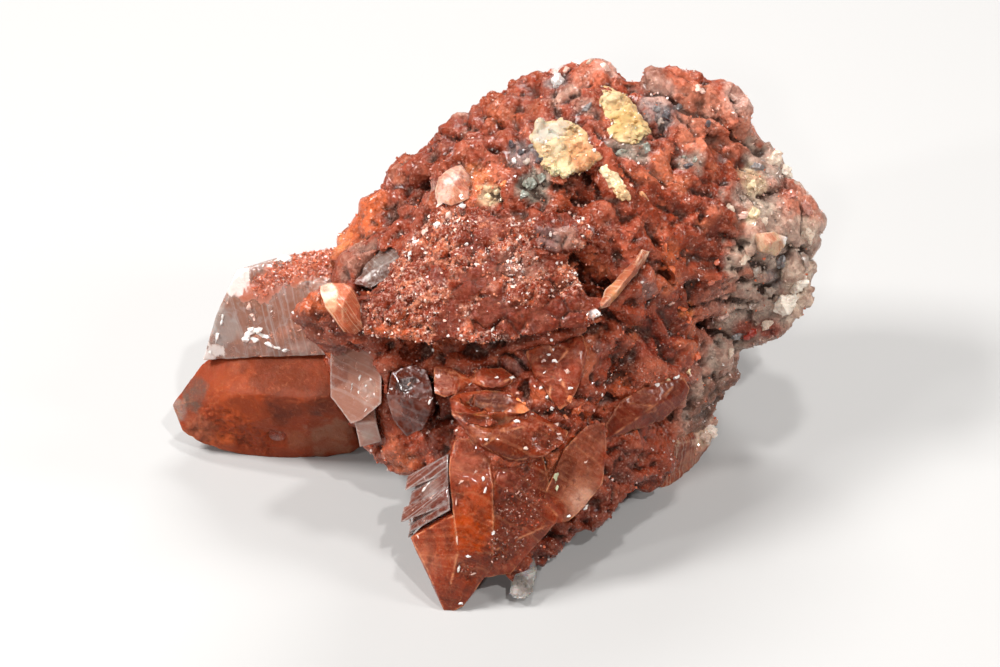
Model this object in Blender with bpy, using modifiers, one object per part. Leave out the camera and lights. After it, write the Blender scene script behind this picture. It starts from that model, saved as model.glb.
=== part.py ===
"""Red gypsum crystals on a clay matrix, a loose specimen about 65 mm wide.

The shapes are measured as a person sees the piece from the front, looking down at it. A spot is given
by how far it lies across from the middle of that view, how far up from the front tip, both in
millimetres on a ruler held at the tip, and how near it comes to the eye. Spots that this view doesn't
show are given as x, y, z in millimetres, with the tip at y = 0 and the table at z = 0.
"""

import random
from itertools import product
from math import cos, pi, radians, sin

import bmesh
import bpy
from mathutils import Matrix, Vector, noise

MM = 0.001

# The view that the measures are taken in.
LOOK_DOWN = radians(38)
EYE_DISTANCE = 305.6
VIEW_MIDDLE_UP = 27.85

# The cleavage plates beside the spear.
PLATE_STEP = 1.6
PLATE_DEPTH = 2.6

# Room that touching pieces leave to each other.
GAP = 0.3

# Grain of the matrix.
MATRIX_VOXEL = 0.8
MATRIX_TRIANGLES = 5300

# What the skinning of the rock takes off its corners.
ROUNDING = 0.4

# The table top that everything is cut off at: its thickness and width.
TABLE_THICKNESS = 80.0
TABLE_WIDTH = 320.0

RED_CLAY = ("red_clay", (0.33, 0.085, 0.045), 0.6)
RED_GYPSUM = ("red_gypsum", (0.50, 0.13, 0.05), 0.3)
DRUSE = ("druse", (0.45, 0.13, 0.07), 0.35)
CLEAR_GYPSUM = ("clear_gypsum", (0.75, 0.62, 0.56), 0.15)
PALE_GYPSUM = ("pale_gypsum", (0.80, 0.45, 0.28), 0.3)
YELLOW_CRUST = ("yellow_crust", (0.72, 0.52, 0.22), 0.6)
WHITE_GYPSUM = ("white_gypsum", (0.72, 0.70, 0.66), 0.3)


def seen(across, up, near):
    """World position of a spot of the front view, its depth given as nearness to the eye."""
    spread = (EYE_DISTANCE - near) / EYE_DISTANCE
    true_up = VIEW_MIDDLE_UP + (up - VIEW_MIDDLE_UP) * spread
    return Vector((
        across * spread,
        true_up * sin(LOOK_DOWN) - near * cos(LOOK_DOWN),
        true_up * cos(LOOK_DOWN) + near * sin(LOOK_DOWN),
    ))


def level(across, up, height):
    """World position of a spot of the front view, its depth given by its height above the table."""
    near = 0.0
    for _ in range(12):
        near += (height - seen(across, up, near).z) / sin(LOOK_DOWN)
    return seen(across, up, near)


def spot(x, y, z):
    """World position of a spot that the front view doesn't show."""
    return Vector((x, y, z))


def empty_scene():
    for obj in list(bpy.data.objects):
        bpy.data.objects.remove(obj, do_unlink=True)
    pieces = bpy.data.collections.new("gypsum_on_matrix")
    cutters = bpy.data.collections.new("cutters")
    bpy.context.scene.collection.children.link(pieces)
    bpy.context.scene.collection.children.link(cutters)
    cutters.hide_render = True
    return pieces, cutters


def material(name, colour, roughness):
    found = bpy.data.materials.get(name)
    if found:
        return found
    made = bpy.data.materials.new(name)
    made.use_nodes = True
    shader = made.node_tree.nodes["Principled BSDF"]
    shader.inputs["Base Color"].default_value = (*colour, 1.0)
    shader.inputs["Roughness"].default_value = roughness
    shader.inputs["Metallic"].default_value = 0.0
    return made


def new_object(name, mesh_data, collection):
    obj = bpy.data.objects.new(name, mesh_data)
    collection.objects.link(obj)
    return obj


def add_hull(shell, corners):
    """Adds the convex block with flat faces between the corners."""
    verts = [shell.verts.new(corner * MM) for corner in corners]
    made = bmesh.ops.convex_hull(shell, input=verts)
    inside = [v for v in made["geom_interior"] if isinstance(v, bmesh.types.BMVert)]
    bmesh.ops.delete(shell, geom=inside, context="VERTS")


def with_room(corners, room):
    """The corners of the block that leaves the given room on all sides."""
    offsets = [Vector(signs) * room for signs in product((-1, 1), repeat=3)]
    return [corner + offset for corner in corners for offset in offsets]


def hull_mesh(name, corners):
    shell = bmesh.new()
    add_hull(shell, corners)
    bmesh.ops.recalc_face_normals(shell, faces=shell.faces)
    data = bpy.data.meshes.new(name)
    shell.to_mesh(data)
    shell.free()
    return data


def bake(obj):
    """Replaces the object's mesh by what its modifiers make of it."""
    graph = bpy.context.evaluated_depsgraph_get()
    data = bpy.data.meshes.new_from_object(obj.evaluated_get(graph))
    obj.modifiers.clear()
    obj.data = data


def boolean(obj, other, operation):
    cut = obj.modifiers.new(operation.lower(), "BOOLEAN")
    cut.operation = operation
    cut.object = other
    cut.solver = "EXACT"
    bake(obj)


def keep_largest(obj):
    """Drops the chips that a cut leaves loose."""
    shell = bmesh.new()
    shell.from_mesh(obj.data)
    left = set(shell.faces)
    islands = []
    while left:
        island = []
        reached = [left.pop()]
        while reached:
            face = reached.pop()
            island.append(face)
            for edge in face.edges:
                for other in edge.link_faces:
                    if other in left:
                        left.discard(other)
                        reached.append(other)
        islands.append(island)
    islands.sort(key=len)
    for island in islands[:-1]:
        bmesh.ops.delete(shell, geom=island, context="FACES")
    shell.to_mesh(obj.data)
    shell.free()


def fused(name, blocks, collection):
    """One solid of crystals grown together, each block a list of corners."""
    first = new_object(name, hull_mesh(name, blocks[0]), collection)
    for block in blocks[1:]:
        other = new_object("block", hull_mesh("block", block), collection)
        boolean(first, other, "UNION")
        bpy.data.objects.remove(other)
    return first


def floor_slab(cutters):
    """Everything under the table top."""
    shell = bmesh.new()
    bmesh.ops.create_cube(shell, size=1.0)
    size = Vector((TABLE_WIDTH, TABLE_WIDTH, TABLE_THICKNESS)) * MM
    bmesh.ops.scale(shell, vec=size, verts=shell.verts)
    bmesh.ops.translate(shell, vec=(0, 0, -size.z / 2), verts=shell.verts)
    data = bpy.data.meshes.new("table_top")
    shell.to_mesh(data)
    shell.free()
    return new_object("table_top", data, cutters)


def spear():
    """The big pointed crystal that the piece stands on in front, with its upper body and right flank."""
    point = [
        seen(-5.4, -0.3, -0.4), seen(-6.4, 2.1, 0.6), seen(-7.6, 5.0, 0.5), seen(-8.9, 7.4, -0.2),
        seen(-4.9, 2.9, 1.4), seen(-4.2, 6.0, 2.7), seen(-4.4, 9.8, 3.1), seen(-0.7, 9.0, 3.2),
        seen(-0.7, 5.6, 2.2), seen(-1.0, 4.2, 1.4), seen(-3.7, 0.6, 0.2), spot(-8.0, 8.0, 3.0),
        spot(-1.0, 8.0, 1.0), spot(-4.0, 12.0, 6.0),
    ]
    body = [
        seen(-4.9, 17.6, 3.0), seen(-5.1, 14.0, 3.5), seen(-4.5, 8.6, 3.1), seen(-4.2, 6.0, 2.7),
        seen(-0.7, 12.6, 3.9), seen(-0.7, 5.9, 2.4), seen(-1.0, 17.0, 3.2), seen(-4.6, 16.5, -1.5),
        spot(-4.0, 9.0, 3.0), spot(0.0, 9.0, 2.0), spot(0.0, 13.0, 6.0),
    ]
    flank = [
        seen(-0.6, 13.0, 3.3), seen(-0.6, 6.2, 1.9), seen(-1.5, 3.5, 0.6), seen(1.0, 3.8, -0.4),
        seen(3.3, 7.3, -0.2), seen(5.4, 8.8, 0.6), seen(5.8, 9.2, 1.0), seen(4.3, 15.6, 2.2),
        seen(0.0, 16.6, 2.8), spot(0.0, 11.0, 3.0), spot(4.0, 13.0, 6.0),
    ]
    return [point, body, flank]


def right_blade():
    """The thin see-through blade with a bright edge, right of the spear."""
    return [
        seen(4.1, 8.8, 0.6), seen(6.8, 9.1, 0.9), seen(7.7, 9.9, 0.9), seen(8.4, 10.6, 0.8),
        seen(10.2, 12.8, 0.4), seen(10.5, 14.6, 0.2), seen(10.6, 16.8, -0.2), seen(10.5, 18.9, -0.6),
        seen(8.6, 18.6, 1.0), seen(6.4, 16.2, 2.0), seen(4.6, 12.0, 2.0), seen(5.0, 10.0, -1.8),
        seen(8.6, 12.2, -2.2), seen(9.6, 18.0, -3.2), seen(5.0, 16.0, -2.5),
    ]


def bowl_lens():
    """The large curved lens over the spear, dark red below."""
    return [
        seen(-4.8, 19.8, 2.2), seen(-4.8, 21.0, 1.2), seen(-3.2, 17.4, 3.6), seen(-1.9, 16.4, 4.3),
        seen(-0.9, 15.8, 4.3), seen(1.6, 14.8, 4.0), seen(4.4, 15.6, 3.5), seen(6.4, 17.0, 2.6),
        seen(6.8, 18.0, 1.8), seen(4.6, 19.1, 3.2), seen(2.9, 20.4, 2.8), seen(0.0, 18.0, 4.8),
        seen(0.0, 21.0, -4.0), seen(-4.0, 20.5, -3.0), seen(6.0, 19.2, -4.0), seen(1.0, 15.5, -2.0),
    ]


def upper_lens():
    """The lens with a dished top, lying on the bowl lens."""
    return [
        seen(-5.0, 21.3, 3.4), seen(-4.3, 21.9, 3.0), seen(-1.3, 22.2, 2.6), seen(1.1, 22.0, 2.8),
        seen(2.9, 20.2, 4.0), seen(1.1, 19.1, 5.0), seen(-1.2, 18.8, 5.6), seen(-3.1, 19.2, 5.0),
        seen(-4.8, 20.3, 4.0), seen(-0.8, 20.7, 5.1), seen(1.4, 21.2, 4.2), seen(-3.8, 20.9, 4.5),
        seen(-4.0, 21.7, -3.0), seen(1.5, 21.7, -3.0), seen(-1.0, 19.4, -2.0),
    ]


def wedge_over_lens():
    """The dark red wedge whose tip points right, over the upper lens."""
    return [
        seen(-2.7, 22.9, 2.6), seen(-2.7, 24.2, 1.8), seen(0.2, 24.4, 1.8), seen(1.7, 23.6, 3.0),
        seen(1.3, 22.7, 3.2), seen(-1.0, 22.3, 3.4), seen(-2.0, 24.0, -4.0), seen(1.0, 23.7, -4.0),
        seen(0.0, 22.4, -3.0), seen(-2.6, 22.4, -3.0),
    ]


def orange_wedge():
    """The bright wedge left of that, pointing the same way."""
    return [
        seen(-6.5, 21.9, 2.4), seen(-6.6, 24.6, 1.0), seen(-5.0, 24.4, 1.4), seen(-3.7, 23.6, 2.4),
        seen(-1.9, 23.0, 1.6), seen(-4.0, 22.0, 3.2), seen(-5.5, 21.5, 2.8), seen(-6.0, 24.0, -4.0),
        seen(-2.6, 23.4, -4.0), seen(-4.5, 21.8, -3.0),
    ]


def upright_lens():
    """The leaf-shaped crystal standing under the druse blade's right half."""
    return [
        seen(2.8, 27.2, 1.2), seen(4.4, 28.0, 1.6), seen(8.3, 27.8, 1.6), seen(8.7, 26.2, 2.1),
        seen(8.2, 24.0, 2.8), seen(7.6, 22.2, 3.2), seen(6.9, 20.9, 3.5), seen(6.0, 20.3, 3.4),
        seen(4.8, 21.4, 3.4), seen(3.4, 23.7, 2.8), seen(2.8, 25.7, 2.0), seen(5.6, 25.0, 3.9),
        seen(3.6, 26.8, -4.0), seen(8.0, 26.8, -4.0), seen(6.0, 21.6, -3.0),
    ]


def smoky_crystal():
    """The dark clear crystal in the hollow under the druse blade's left half."""
    return [
        seen(-11.4, 21.7, 0.6), seen(-10.8, 24.0, 0.2), seen(-9.0, 24.7, 0.6), seen(-7.4, 24.1, 1.2),
        seen(-6.8, 22.2, 1.8), seen(-6.9, 20.0, 1.8), seen(-7.8, 18.2, 1.2), seen(-9.3, 17.6, 0.2),
        seen(-10.7, 19.2, 0.2), seen(-9.0, 21.4, 2.4), seen(-10.4, 23.0, -5.0), seen(-7.4, 23.0, -4.0),
        seen(-8.6, 18.8, -4.0), seen(-6.0, 20.5, -4.0),
    ]


def clear_wedge():
    """The clear angular crystal in front of the lower left one, and the chip under it."""
    wedge = [
        seen(-16.9, 26.4, -6.4), seen(-16.9, 21.5, -6.0), seen(-14.9, 18.9, -4.6),
        seen(-13.9, 19.2, -3.8), seen(-11.9, 20.9, -2.2), seen(-11.9, 24.0, -2.0),
        seen(-13.0, 26.6, -2.6), seen(-15.0, 26.6, -4.4), seen(-16.0, 26.0, -10.0),
        seen(-12.4, 25.0, -8.0), seen(-14.8, 19.9, -8.5), seen(-12.4, 21.2, -7.0),
    ]
    chip = [
        seen(-14.5, 18.9, -5.4), seen(-14.0, 16.5, -7.0), seen(-11.9, 17.1, -5.6),
        seen(-12.4, 19.0, -4.0), seen(-13.6, 20.4, -5.4), seen(-12.6, 21.0, -5.2),
        seen(-13.4, 18.0, -9.6), seen(-12.4, 17.6, -8.6), seen(-12.8, 21.2, -8.0),
    ]
    return [wedge, chip]


def striated_plates():
    """Clear cleavage plates stepped against the spear's left side, on one core."""
    core = [
        seen(-8.4, 13.2, -1.6), seen(-8.8, 8.2, -1.4), seen(-5.2, 9.0, 0.6), seen(-5.2, 15.6, 0.8),
        seen(-7.4, 13.0, -5.0), seen(-7.0, 8.6, -4.6), seen(-4.6, 12.0, -4.0),
    ]
    blocks = [core]
    for step, left in enumerate((-9.5, -9.1, -9.9, -9.2)):
        low = 12.2 - PLATE_STEP * step
        near = -0.9 + 0.2 * step
        corners = []
        for depth in (0.0, -PLATE_DEPTH):
            corners += [
                seen(left, low, near + depth),
                seen(left + 0.3, low + 1.4, near + depth - 0.3),
                seen(-5.1, low + 3.6, near + depth + 2.4),
                seen(-4.9, low + 1.9, near + depth + 2.6),
            ]
        blocks.append(corners)
    return blocks


def lower_left_crystal():
    """The smooth amber-red crystal that lies on the table at the left."""
    return [
        level(-32.7, 20.7, 4.6), level(-29.8, 24.7, 8.6), level(-26.8, 26.5, 10.6),
        level(-20.5, 26.3, 11.6), level(-16.2, 25.8, 11.8), level(-16.2, 21.6, 10.2),
        level(-27.2, 21.8, 8.6), level(-24.0, 22.7, 9.6), level(-18.5, 21.0, 9.4),
        level(-31.7, 18.2, 2.6), level(-30.5, 17.1, 1.6), level(-27.8, 16.4, 0.8),
        level(-26.0, 15.7, -0.3), level(-22.7, 15.1, -0.7), level(-20.6, 15.1, -0.6),
        level(-18.5, 15.8, 0.3), level(-15.0, 15.9, 0.5), level(-14.0, 16.5, 1.0),
        spot(-30.0, 33.0, 5.0), spot(-27.0, 36.0, 8.0), spot(-16.0, 36.0, 9.0),
        spot(-26.0, 35.0, 1.5), spot(-18.0, 34.0, -0.4), spot(-14.0, 30.0, 1.0),
    ]


def upper_left_crystal():
    """The clear slab above it, striped at its left end."""
    return [
        level(-29.7, 25.2, 9.8), level(-29.1, 27.0, 12.2), level(-28.3, 29.8, 15.2),
        level(-27.1, 31.5, 17.2), level(-26.8, 33.1, 18.6), level(-26.3, 34.2, 19.4),
        level(-24.3, 34.6, 20.0), level(-22.6, 35.0, 20.0), level(-20.9, 35.8, 20.2),
        level(-16.0, 36.4, 20.2), level(-28.3, 25.3, 10.2), level(-26.6, 26.5, 11.4),
        level(-24.6, 26.5, 11.6), level(-21.3, 26.0, 12.0), level(-16.4, 25.8, 12.4),
        level(-24.6, 32.6, 18.0), level(-17.0, 32.4, 18.4), level(-14.5, 29.0, 15.0),
        spot(-29.0, 35.0, 11.4), spot(-26.0, 37.0, 14.6), spot(-15.0, 37.5, 15.0),
        spot(-15.0, 37.0, 12.6), spot(-26.0, 38.0, 12.0),
    ]


def druse_blade():
    """The broad roof-like crystal in the middle, with a sharp lip along its lower edge."""
    roof = [
        seen(-13.4, 28.0, 2.0), seen(-12.3, 27.3, 2.6), seen(-9.5, 27.8, 3.6), seen(-6.5, 27.7, 4.4),
        seen(-2.4, 27.0, 5.2), seen(4.2, 27.7, 5.0), seen(6.7, 28.3, 4.8), seen(9.0, 28.9, 4.4),
        seen(10.4, 29.6, 3.9), seen(9.0, 30.6, 4.0), seen(7.6, 33.5, 3.4), seen(6.4, 35.8, 2.6),
        seen(4.0, 38.2, 1.6), seen(-2.0, 40.4, -0.2), seen(-5.5, 40.6, -1.4), seen(-8.2, 38.6, -1.4),
        seen(-8.9, 37.4, -1.0), seen(-10.3, 34.6, 0.0), seen(-12.3, 32.6, 0.8), seen(-13.7, 30.4, 1.4),
        seen(-3.5, 32.6, 5.0), seen(2.0, 32.0, 5.2), seen(-8.0, 31.5, 4.0),
        seen(-10.0, 28.6, -3.0), seen(5.0, 28.8, -3.0), seen(-6.0, 38.0, -6.0), seen(3.0, 36.0, -5.0),
    ]
    lip = [
        seen(-5.8, 27.8, 4.5), seen(-5.0, 27.3, 5.0), seen(-2.4, 26.9, 5.7), seen(-1.7, 27.8, 5.8),
        seen(-3.0, 29.6, 5.6), seen(-5.0, 29.4, 4.8), seen(-3.5, 28.0, 1.0),
    ]
    chunk = [
        seen(2.6, 37.4, 2.2), seen(3.2, 39.6, 1.4), seen(5.4, 40.4, 1.4), seen(8.2, 39.2, 2.4),
        seen(9.2, 37.9, 3.0), seen(8.9, 36.5, 3.4), seen(6.4, 36.0, 4.0), seen(4.0, 36.4, 3.6),
        seen(4.6, 38.2, 4.0), seen(7.6, 38.0, 3.8), seen(4.0, 37.0, -4.0), seen(8.0, 38.0, -4.0),
    ]
    return [roof, lip, chunk]


def pale_crystal():
    """The small cream-tipped crystal at the druse blade's left end."""
    return [
        seen(-18.0, 32.6, 0.8), seen(-17.0, 32.9, 0.4), seen(-15.6, 32.8, 0.4), seen(-14.8, 32.4, 0.6),
        seen(-13.9, 30.4, 1.0), seen(-13.5, 29.3, 1.2), seen(-13.6, 28.4, 1.6), seen(-14.5, 27.8, 2.0),
        seen(-15.6, 28.1, 2.3), seen(-17.4, 30.4, 2.0), seen(-17.9, 31.8, 1.5), seen(-15.8, 30.6, 2.9),
        seen(-15.4, 31.6, -3.4), seen(-13.9, 29.2, -3.4), seen(-14.6, 28.6, -2.4),
    ]


def blush_crystal():
    """The pinkish white crystal on the shoulder above the druse blade."""
    return [
        seen(-6.4, 41.8, -2.2), seen(-6.0, 43.4, -2.6), seen(-4.8, 44.6, -3.2), seen(-3.8, 44.8, -3.4),
        seen(-2.9, 43.6, -2.8), seen(-3.2, 41.4, -1.0), seen(-4.8, 40.6, -0.6), seen(-6.2, 40.6, -1.4),
        seen(-4.6, 42.6, -0.9), seen(-5.6, 41.8, -6.0), seen(-3.6, 43.0, -6.0), seen(-4.0, 41.0, -5.0),
    ]


def valley_crystal():
    """The grey glassy crystal in the valley behind the druse blade."""
    return [
        seen(-14.6, 32.9, -4.4), seen(-13.2, 35.0, -5.6), seen(-10.6, 36.9, -6.4),
        seen(-9.0, 37.8, -6.2), seen(-8.8, 36.4, -4.6), seen(-10.6, 34.0, -3.4),
        seen(-13.0, 32.2, -3.0), seen(-12.0, 34.4, -3.4), seen(-13.0, 32.6, -9.0),
        seen(-9.6, 35.6, -9.0), seen(-12.6, 34.6, -9.0),
    ]


def ridge_blade():
    """The narrow orange blade lying in the groove right of the druse blade."""
    return [
        seen(9.8, 30.2, 4.2), seen(10.9, 30.7, 3.0), seen(13.8, 33.9, 1.4), seen(14.9, 36.0, 0.2),
        seen(14.2, 36.2, 0.4), seen(10.6, 32.2, 2.8), seen(11.4, 31.8, 3.6), seen(13.2, 34.0, 2.4),
        seen(11.0, 31.0, -2.4), seen(14.0, 34.6, -3.4),
    ]


def lower_right_slab():
    """The deep red slab with a pale end, low on the right slope."""
    return [
        seen(14.4, 22.4, -4.6), seen(18.2, 23.5, -6.6), seen(19.0, 22.4, -7.2), seen(18.7, 21.4, -7.2),
        seen(17.1, 20.6, -6.4), seen(16.2, 19.2, -6.2), seen(14.0, 18.4, -5.2), seen(10.9, 17.4, -3.6),
        seen(10.6, 18.7, -3.2), seen(12.0, 21.0, -3.4), seen(15.4, 20.6, -4.4), seen(12.0, 19.5, -9.0),
        seen(17.6, 22.0, -10.5), seen(15.0, 19.6, -9.5),
    ]


def lower_right_crystal():
    """The crystal with a whitish point at the lower right, which touches the table."""
    return [
        level(17.3, 19.6, 5.2), level(20.0, 19.4, 4.0), level(21.5, 17.8, 2.2), level(21.1, 16.7, 1.2),
        level(19.7, 15.0, 0.4), level(18.1, 13.3, -0.2), level(17.0, 12.3, -0.5),
        level(15.7, 12.6, 0.4), level(16.2, 15.6, 3.2), level(17.9, 16.8, 4.4),
        spot(15.0, 24.0, 5.0), spot(16.0, 25.5, -0.4), spot(20.5, 28.0, 1.0), spot(15.0, 27.0, 3.0),
    ]


def crest_tip():
    """The small cream point that ends the crest on the right."""
    return [
        seen(25.6, 37.8, -4.6), seen(27.2, 38.0, -5.2), seen(28.9, 37.5, -5.8), seen(28.7, 36.6, -5.8),
        seen(27.6, 35.6, -5.4), seen(26.2, 36.0, -4.6), seen(27.0, 36.9, -4.2), seen(25.4, 36.4, -8.0),
        seen(26.6, 37.2, -8.6),
    ]


def white_flake():
    """The small white flake hanging under the spear's right side."""
    return [
        seen(0.8, 1.8, 0.0), seen(1.2, 1.3, 0.2), seen(2.4, 1.2, 0.2), seen(3.4, 2.0, -0.2),
        seen(3.8, 4.1, -1.0), seen(3.4, 5.4, -2.6), seen(1.6, 5.4, -2.6), seen(0.8, 2.9, -0.6),
        seen(1.2, 1.8, -1.2), seen(3.0, 2.4, -1.6), seen(3.4, 5.0, -4.4), seen(1.8, 5.0, -4.4),
    ]


def crust(outline, thickness, near):
    """A thin scale of crust: its outline as seen, its nearness at the upper and at the lower edge."""
    top = max(up for _, up in outline)
    low = min(up for _, up in outline)
    corners = []
    for across, up in outline:
        share = (up - low) / (top - low)
        face = near[0] * share + near[1] * (1 - share)
        corners.append(seen(across, up, face))
        corners.append(seen(across * 0.97 + 0.03 * outline[0][0], up, face - thickness))
    return corners


def left_crust():
    """The yellow scale on the edge of the top, in two leaves."""
    back_leaf = crust(
        [(3.1, 47.5), (4.0, 49.2), (5.6, 48.9), (6.4, 49.2), (7.4, 48.8), (8.8, 47.5), (8.0, 45.6),
         (4.2, 45.0)],
        1.3, (-2.2, -0.4),
    )
    front_leaf = crust(
        [(4.2, 46.4), (6.4, 47.6), (8.8, 47.2), (10.3, 45.5), (9.5, 44.7), (7.7, 44.1), (6.3, 43.5),
         (4.8, 44.1), (4.2, 45.0)],
        1.4, (-0.9, 0.7),
    )
    return [back_leaf, front_leaf]


def right_crust():
    """The longer yellow scale beside it, wide at the lower end."""
    stem = crust(
        [(10.1, 52.4), (10.9, 52.5), (12.0, 51.8), (13.3, 50.8), (13.9, 49.8), (10.9, 49.0),
         (10.2, 50.8)],
        1.6, (-6.8, -4.8),
    )
    fan = crust(
        [(10.9, 49.4), (12.8, 51.0), (13.9, 49.8), (15.0, 48.0), (14.1, 47.1), (13.0, 46.8),
         (12.0, 47.0), (10.6, 48.0)],
        2.2, (-5.4, -3.0),
    )
    return [stem, fan]


# Blocks that make up the matrix, each by its corners.


def back_left_ridge():
    """The ridge behind the valley, which makes the outline at the upper left."""
    return [
        seen(-16.4, 37.3, -13.0), seen(-12.0, 41.6, -13.0), seen(-10.0, 44.6, -13.0),
        seen(-7.0, 46.1, -13.0), seen(-6.4, 44.0, -9.6), seen(-10.0, 40.0, -9.4),
        seen(-14.6, 36.2, -10.4), seen(-17.6, 34.8, -12.4), seen(-14.0, 35.0, -19.0),
        seen(-9.0, 42.0, -20.0), seen(-6.0, 44.0, -20.0), seen(-12.0, 32.0, -14.0),
    ]


def top_left():
    return [
        seen(-7.2, 46.0, -13.0), seen(-6.0, 48.2, -13.0), seen(-2.0, 50.7, -12.5),
        seen(2.0, 52.2, -12.0), seen(3.0, 48.4, -7.4), seen(-5.4, 45.0, -9.4), seen(-2.0, 44.0, -8.0),
        seen(-5.0, 46.0, -20.0), seen(2.0, 50.0, -20.0), seen(-2.0, 42.0, -20.0),
    ]


def top_middle_knob():
    return [
        seen(1.6, 52.0, -11.5), seen(5.5, 53.5, -10.5), seen(7.5, 55.0, -10.5), seen(9.0, 55.4, -10.5),
        seen(11.0, 54.8, -10.0), seen(12.0, 53.6, -9.6), seen(12.9, 52.0, -9.6), seen(13.0, 49.0, -5.4),
        seen(9.0, 48.4, -4.8), seen(4.0, 48.0, -5.6), seen(4.0, 50.0, -19.0), seen(12.0, 50.6, -19.0),
        seen(8.0, 46.0, -19.0),
    ]


def top_right_knob():
    return [
        seen(14.8, 53.2, -10.0), seen(15.8, 55.0, -10.8), seen(18.0, 54.7, -11.0),
        seen(21.0, 53.5, -11.2), seen(23.5, 52.1, -11.5), seen(24.5, 50.7, -11.5),
        seen(25.4, 48.4, -12.0), seen(25.6, 46.6, -12.0), seen(20.0, 46.0, -7.5),
        seen(15.0, 47.5, -5.6), seen(13.9, 50.0, -6.6), seen(16.0, 51.0, -19.0),
        seen(24.0, 48.0, -19.0), seen(20.0, 46.0, -20.0),
    ]


def right_shoulder():
    return [
        seen(25.6, 46.8, -12.0), seen(26.7, 46.4, -12.0), seen(27.6, 45.8, -12.0),
        seen(29.4, 42.9, -12.0), seen(30.6, 42.0, -12.0), seen(32.1, 39.9, -12.5),
        seen(31.9, 38.4, -12.5), seen(31.4, 35.8, -13.0), seen(28.4, 38.0, -8.4),
        seen(24.0, 42.0, -7.6), seen(26.0, 44.0, -20.0), seen(30.0, 40.0, -20.0),
        seen(30.0, 36.0, -20.0), seen(22.0, 44.0, -9.0),
    ]


def right_end():
    return [
        seen(31.2, 36.0, -13.0), seen(31.5, 33.2, -13.5), seen(31.0, 30.9, -14.0),
        seen(29.4, 29.1, -14.5), seen(27.4, 28.2, -15.0), seen(24.6, 26.4, -16.0),
        seen(24.0, 31.0, -12.2), seen(28.0, 34.6, -10.5), seen(25.6, 36.4, -9.0),
        seen(30.0, 34.0, -20.0), seen(28.0, 30.0, -21.0), seen(24.0, 28.0, -22.0),
    ]


def lower_right_slope():
    return [
        seen(24.4, 26.3, -16.5), seen(24.0, 24.3, -17.5), seen(23.0, 21.8, -18.5),
        seen(21.5, 18.7, -19.5), seen(19.0, 19.0, -15.6), seen(19.6, 24.0, -13.6),
        seen(18.0, 27.0, -12.0), seen(16.0, 16.5, -14.0), level(18.0, 14.8, 0.5),
        spot(18.0, 38.0, 4.0), spot(20.0, 40.0, 12.0), spot(12.0, 34.0, 3.0),
    ]


def crest():
    """The slope from the crusts down to the crest that ends in the cream point."""
    return [
        seen(3.0, 48.5, -2.6), seen(8.0, 46.5, 0.3), seen(10.3, 44.6, 0.6), seen(14.0, 44.0, -0.8),
        seen(20.0, 40.4, -3.2), seen(26.0, 37.6, -5.4), seen(28.0, 36.9, -6.4), seen(24.0, 42.0, -8.0),
        seen(14.0, 47.8, -5.4), seen(10.0, 40.0, -12.0), seen(20.0, 36.0, -13.0),
    ]


def granular_shoulder():
    """The slope between the blush crystal and the left crust."""
    return [
        seen(-6.4, 44.8, -4.2), seen(-3.0, 46.6, -4.2), seen(3.0, 48.6, -3.4), seen(6.4, 43.0, 0.0),
        seen(3.0, 40.2, 0.4), seen(-4.0, 40.8, -1.8), seen(-8.0, 41.0, -4.4), seen(-4.0, 42.0, -12.0),
        seen(4.0, 40.0, -12.0),
    ]


def right_face_top():
    return [
        seen(9.6, 40.0, 0.2), seen(14.0, 43.6, -1.4), seen(20.0, 40.0, -3.6), seen(25.6, 37.0, -5.8),
        seen(22.0, 31.0, -9.4), seen(16.0, 28.6, -7.6), seen(12.4, 31.6, -3.8),
        seen(12.0, 32.0, -16.0), seen(22.0, 30.0, -18.0),
    ]


def right_face_low():
    return [
        seen(9.8, 30.4, 0.6), seen(13.0, 34.0, -0.8), seen(17.6, 30.0, -6.0), seen(20.4, 26.4, -9.8),
        seen(16.0, 23.0, -7.4), seen(11.0, 20.4, -3.2), seen(9.4, 22.0, -2.0), seen(12.0, 24.0, -14.0),
        seen(20.0, 22.0, -16.0),
    ]


def recess_wall():
    """The wall set back under the druse blade's lip."""
    return [
        seen(-12.4, 28.0, -0.6), seen(-6.0, 27.5, 0.8), seen(3.0, 27.0, 1.4), seen(9.0, 27.5, 0.6),
        seen(10.0, 24.0, -0.8), seen(8.6, 20.0, 0.4), seen(6.0, 20.4, 1.6), seen(2.0, 23.2, 1.2),
        seen(-5.0, 23.0, -0.4), seen(-8.0, 19.6, -1.8), seen(-12.0, 21.6, -3.0),
        seen(-12.0, 26.0, -12.0), seen(0.0, 22.0, -12.0), seen(8.0, 24.0, -12.0),
    ]


def spear_backing():
    return [
        seen(-4.4, 20.0, -0.8), seen(6.0, 20.0, -0.8), seen(10.4, 18.6, -2.8), seen(11.2, 12.0, -4.0),
        seen(9.9, 9.2, -4.4), seen(7.6, 8.6, -4.0), seen(5.6, 7.4, -3.6), seen(4.6, 5.2, -3.4),
        seen(3.7, 3.9, -3.4), seen(1.0, 3.6, -2.6), seen(-4.0, 9.0, -2.2), seen(-7.4, 15.8, -4.0),
        seen(-6.0, 16.0, -9.0), level(4.0, 6.4, 0.4), seen(10.0, 14.0, -10.0), seen(0.0, 12.0, -9.0),
    ]


def left_neck():
    """The neck that carries the two left crystals."""
    return [
        seen(-17.0, 28.0, -5.0), seen(-12.0, 28.0, -2.4), seen(-11.6, 20.4, -4.0),
        seen(-8.6, 13.4, -6.0), seen(-9.4, 13.4, -6.4), seen(-11.6, 15.1, -7.0),
        seen(-12.0, 17.0, -9.0), seen(-16.0, 24.0, -9.6), seen(-8.0, 16.0, -12.0),
        seen(-4.0, 18.0, -6.0), spot(-12.0, 36.0, 8.0), spot(-17.0, 29.5, 3.4), spot(-19.0, 33.0, 5.0),
        spot(-19.0, 36.0, 11.0), spot(-18.0, 31.0, 12.0),
    ]


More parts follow.
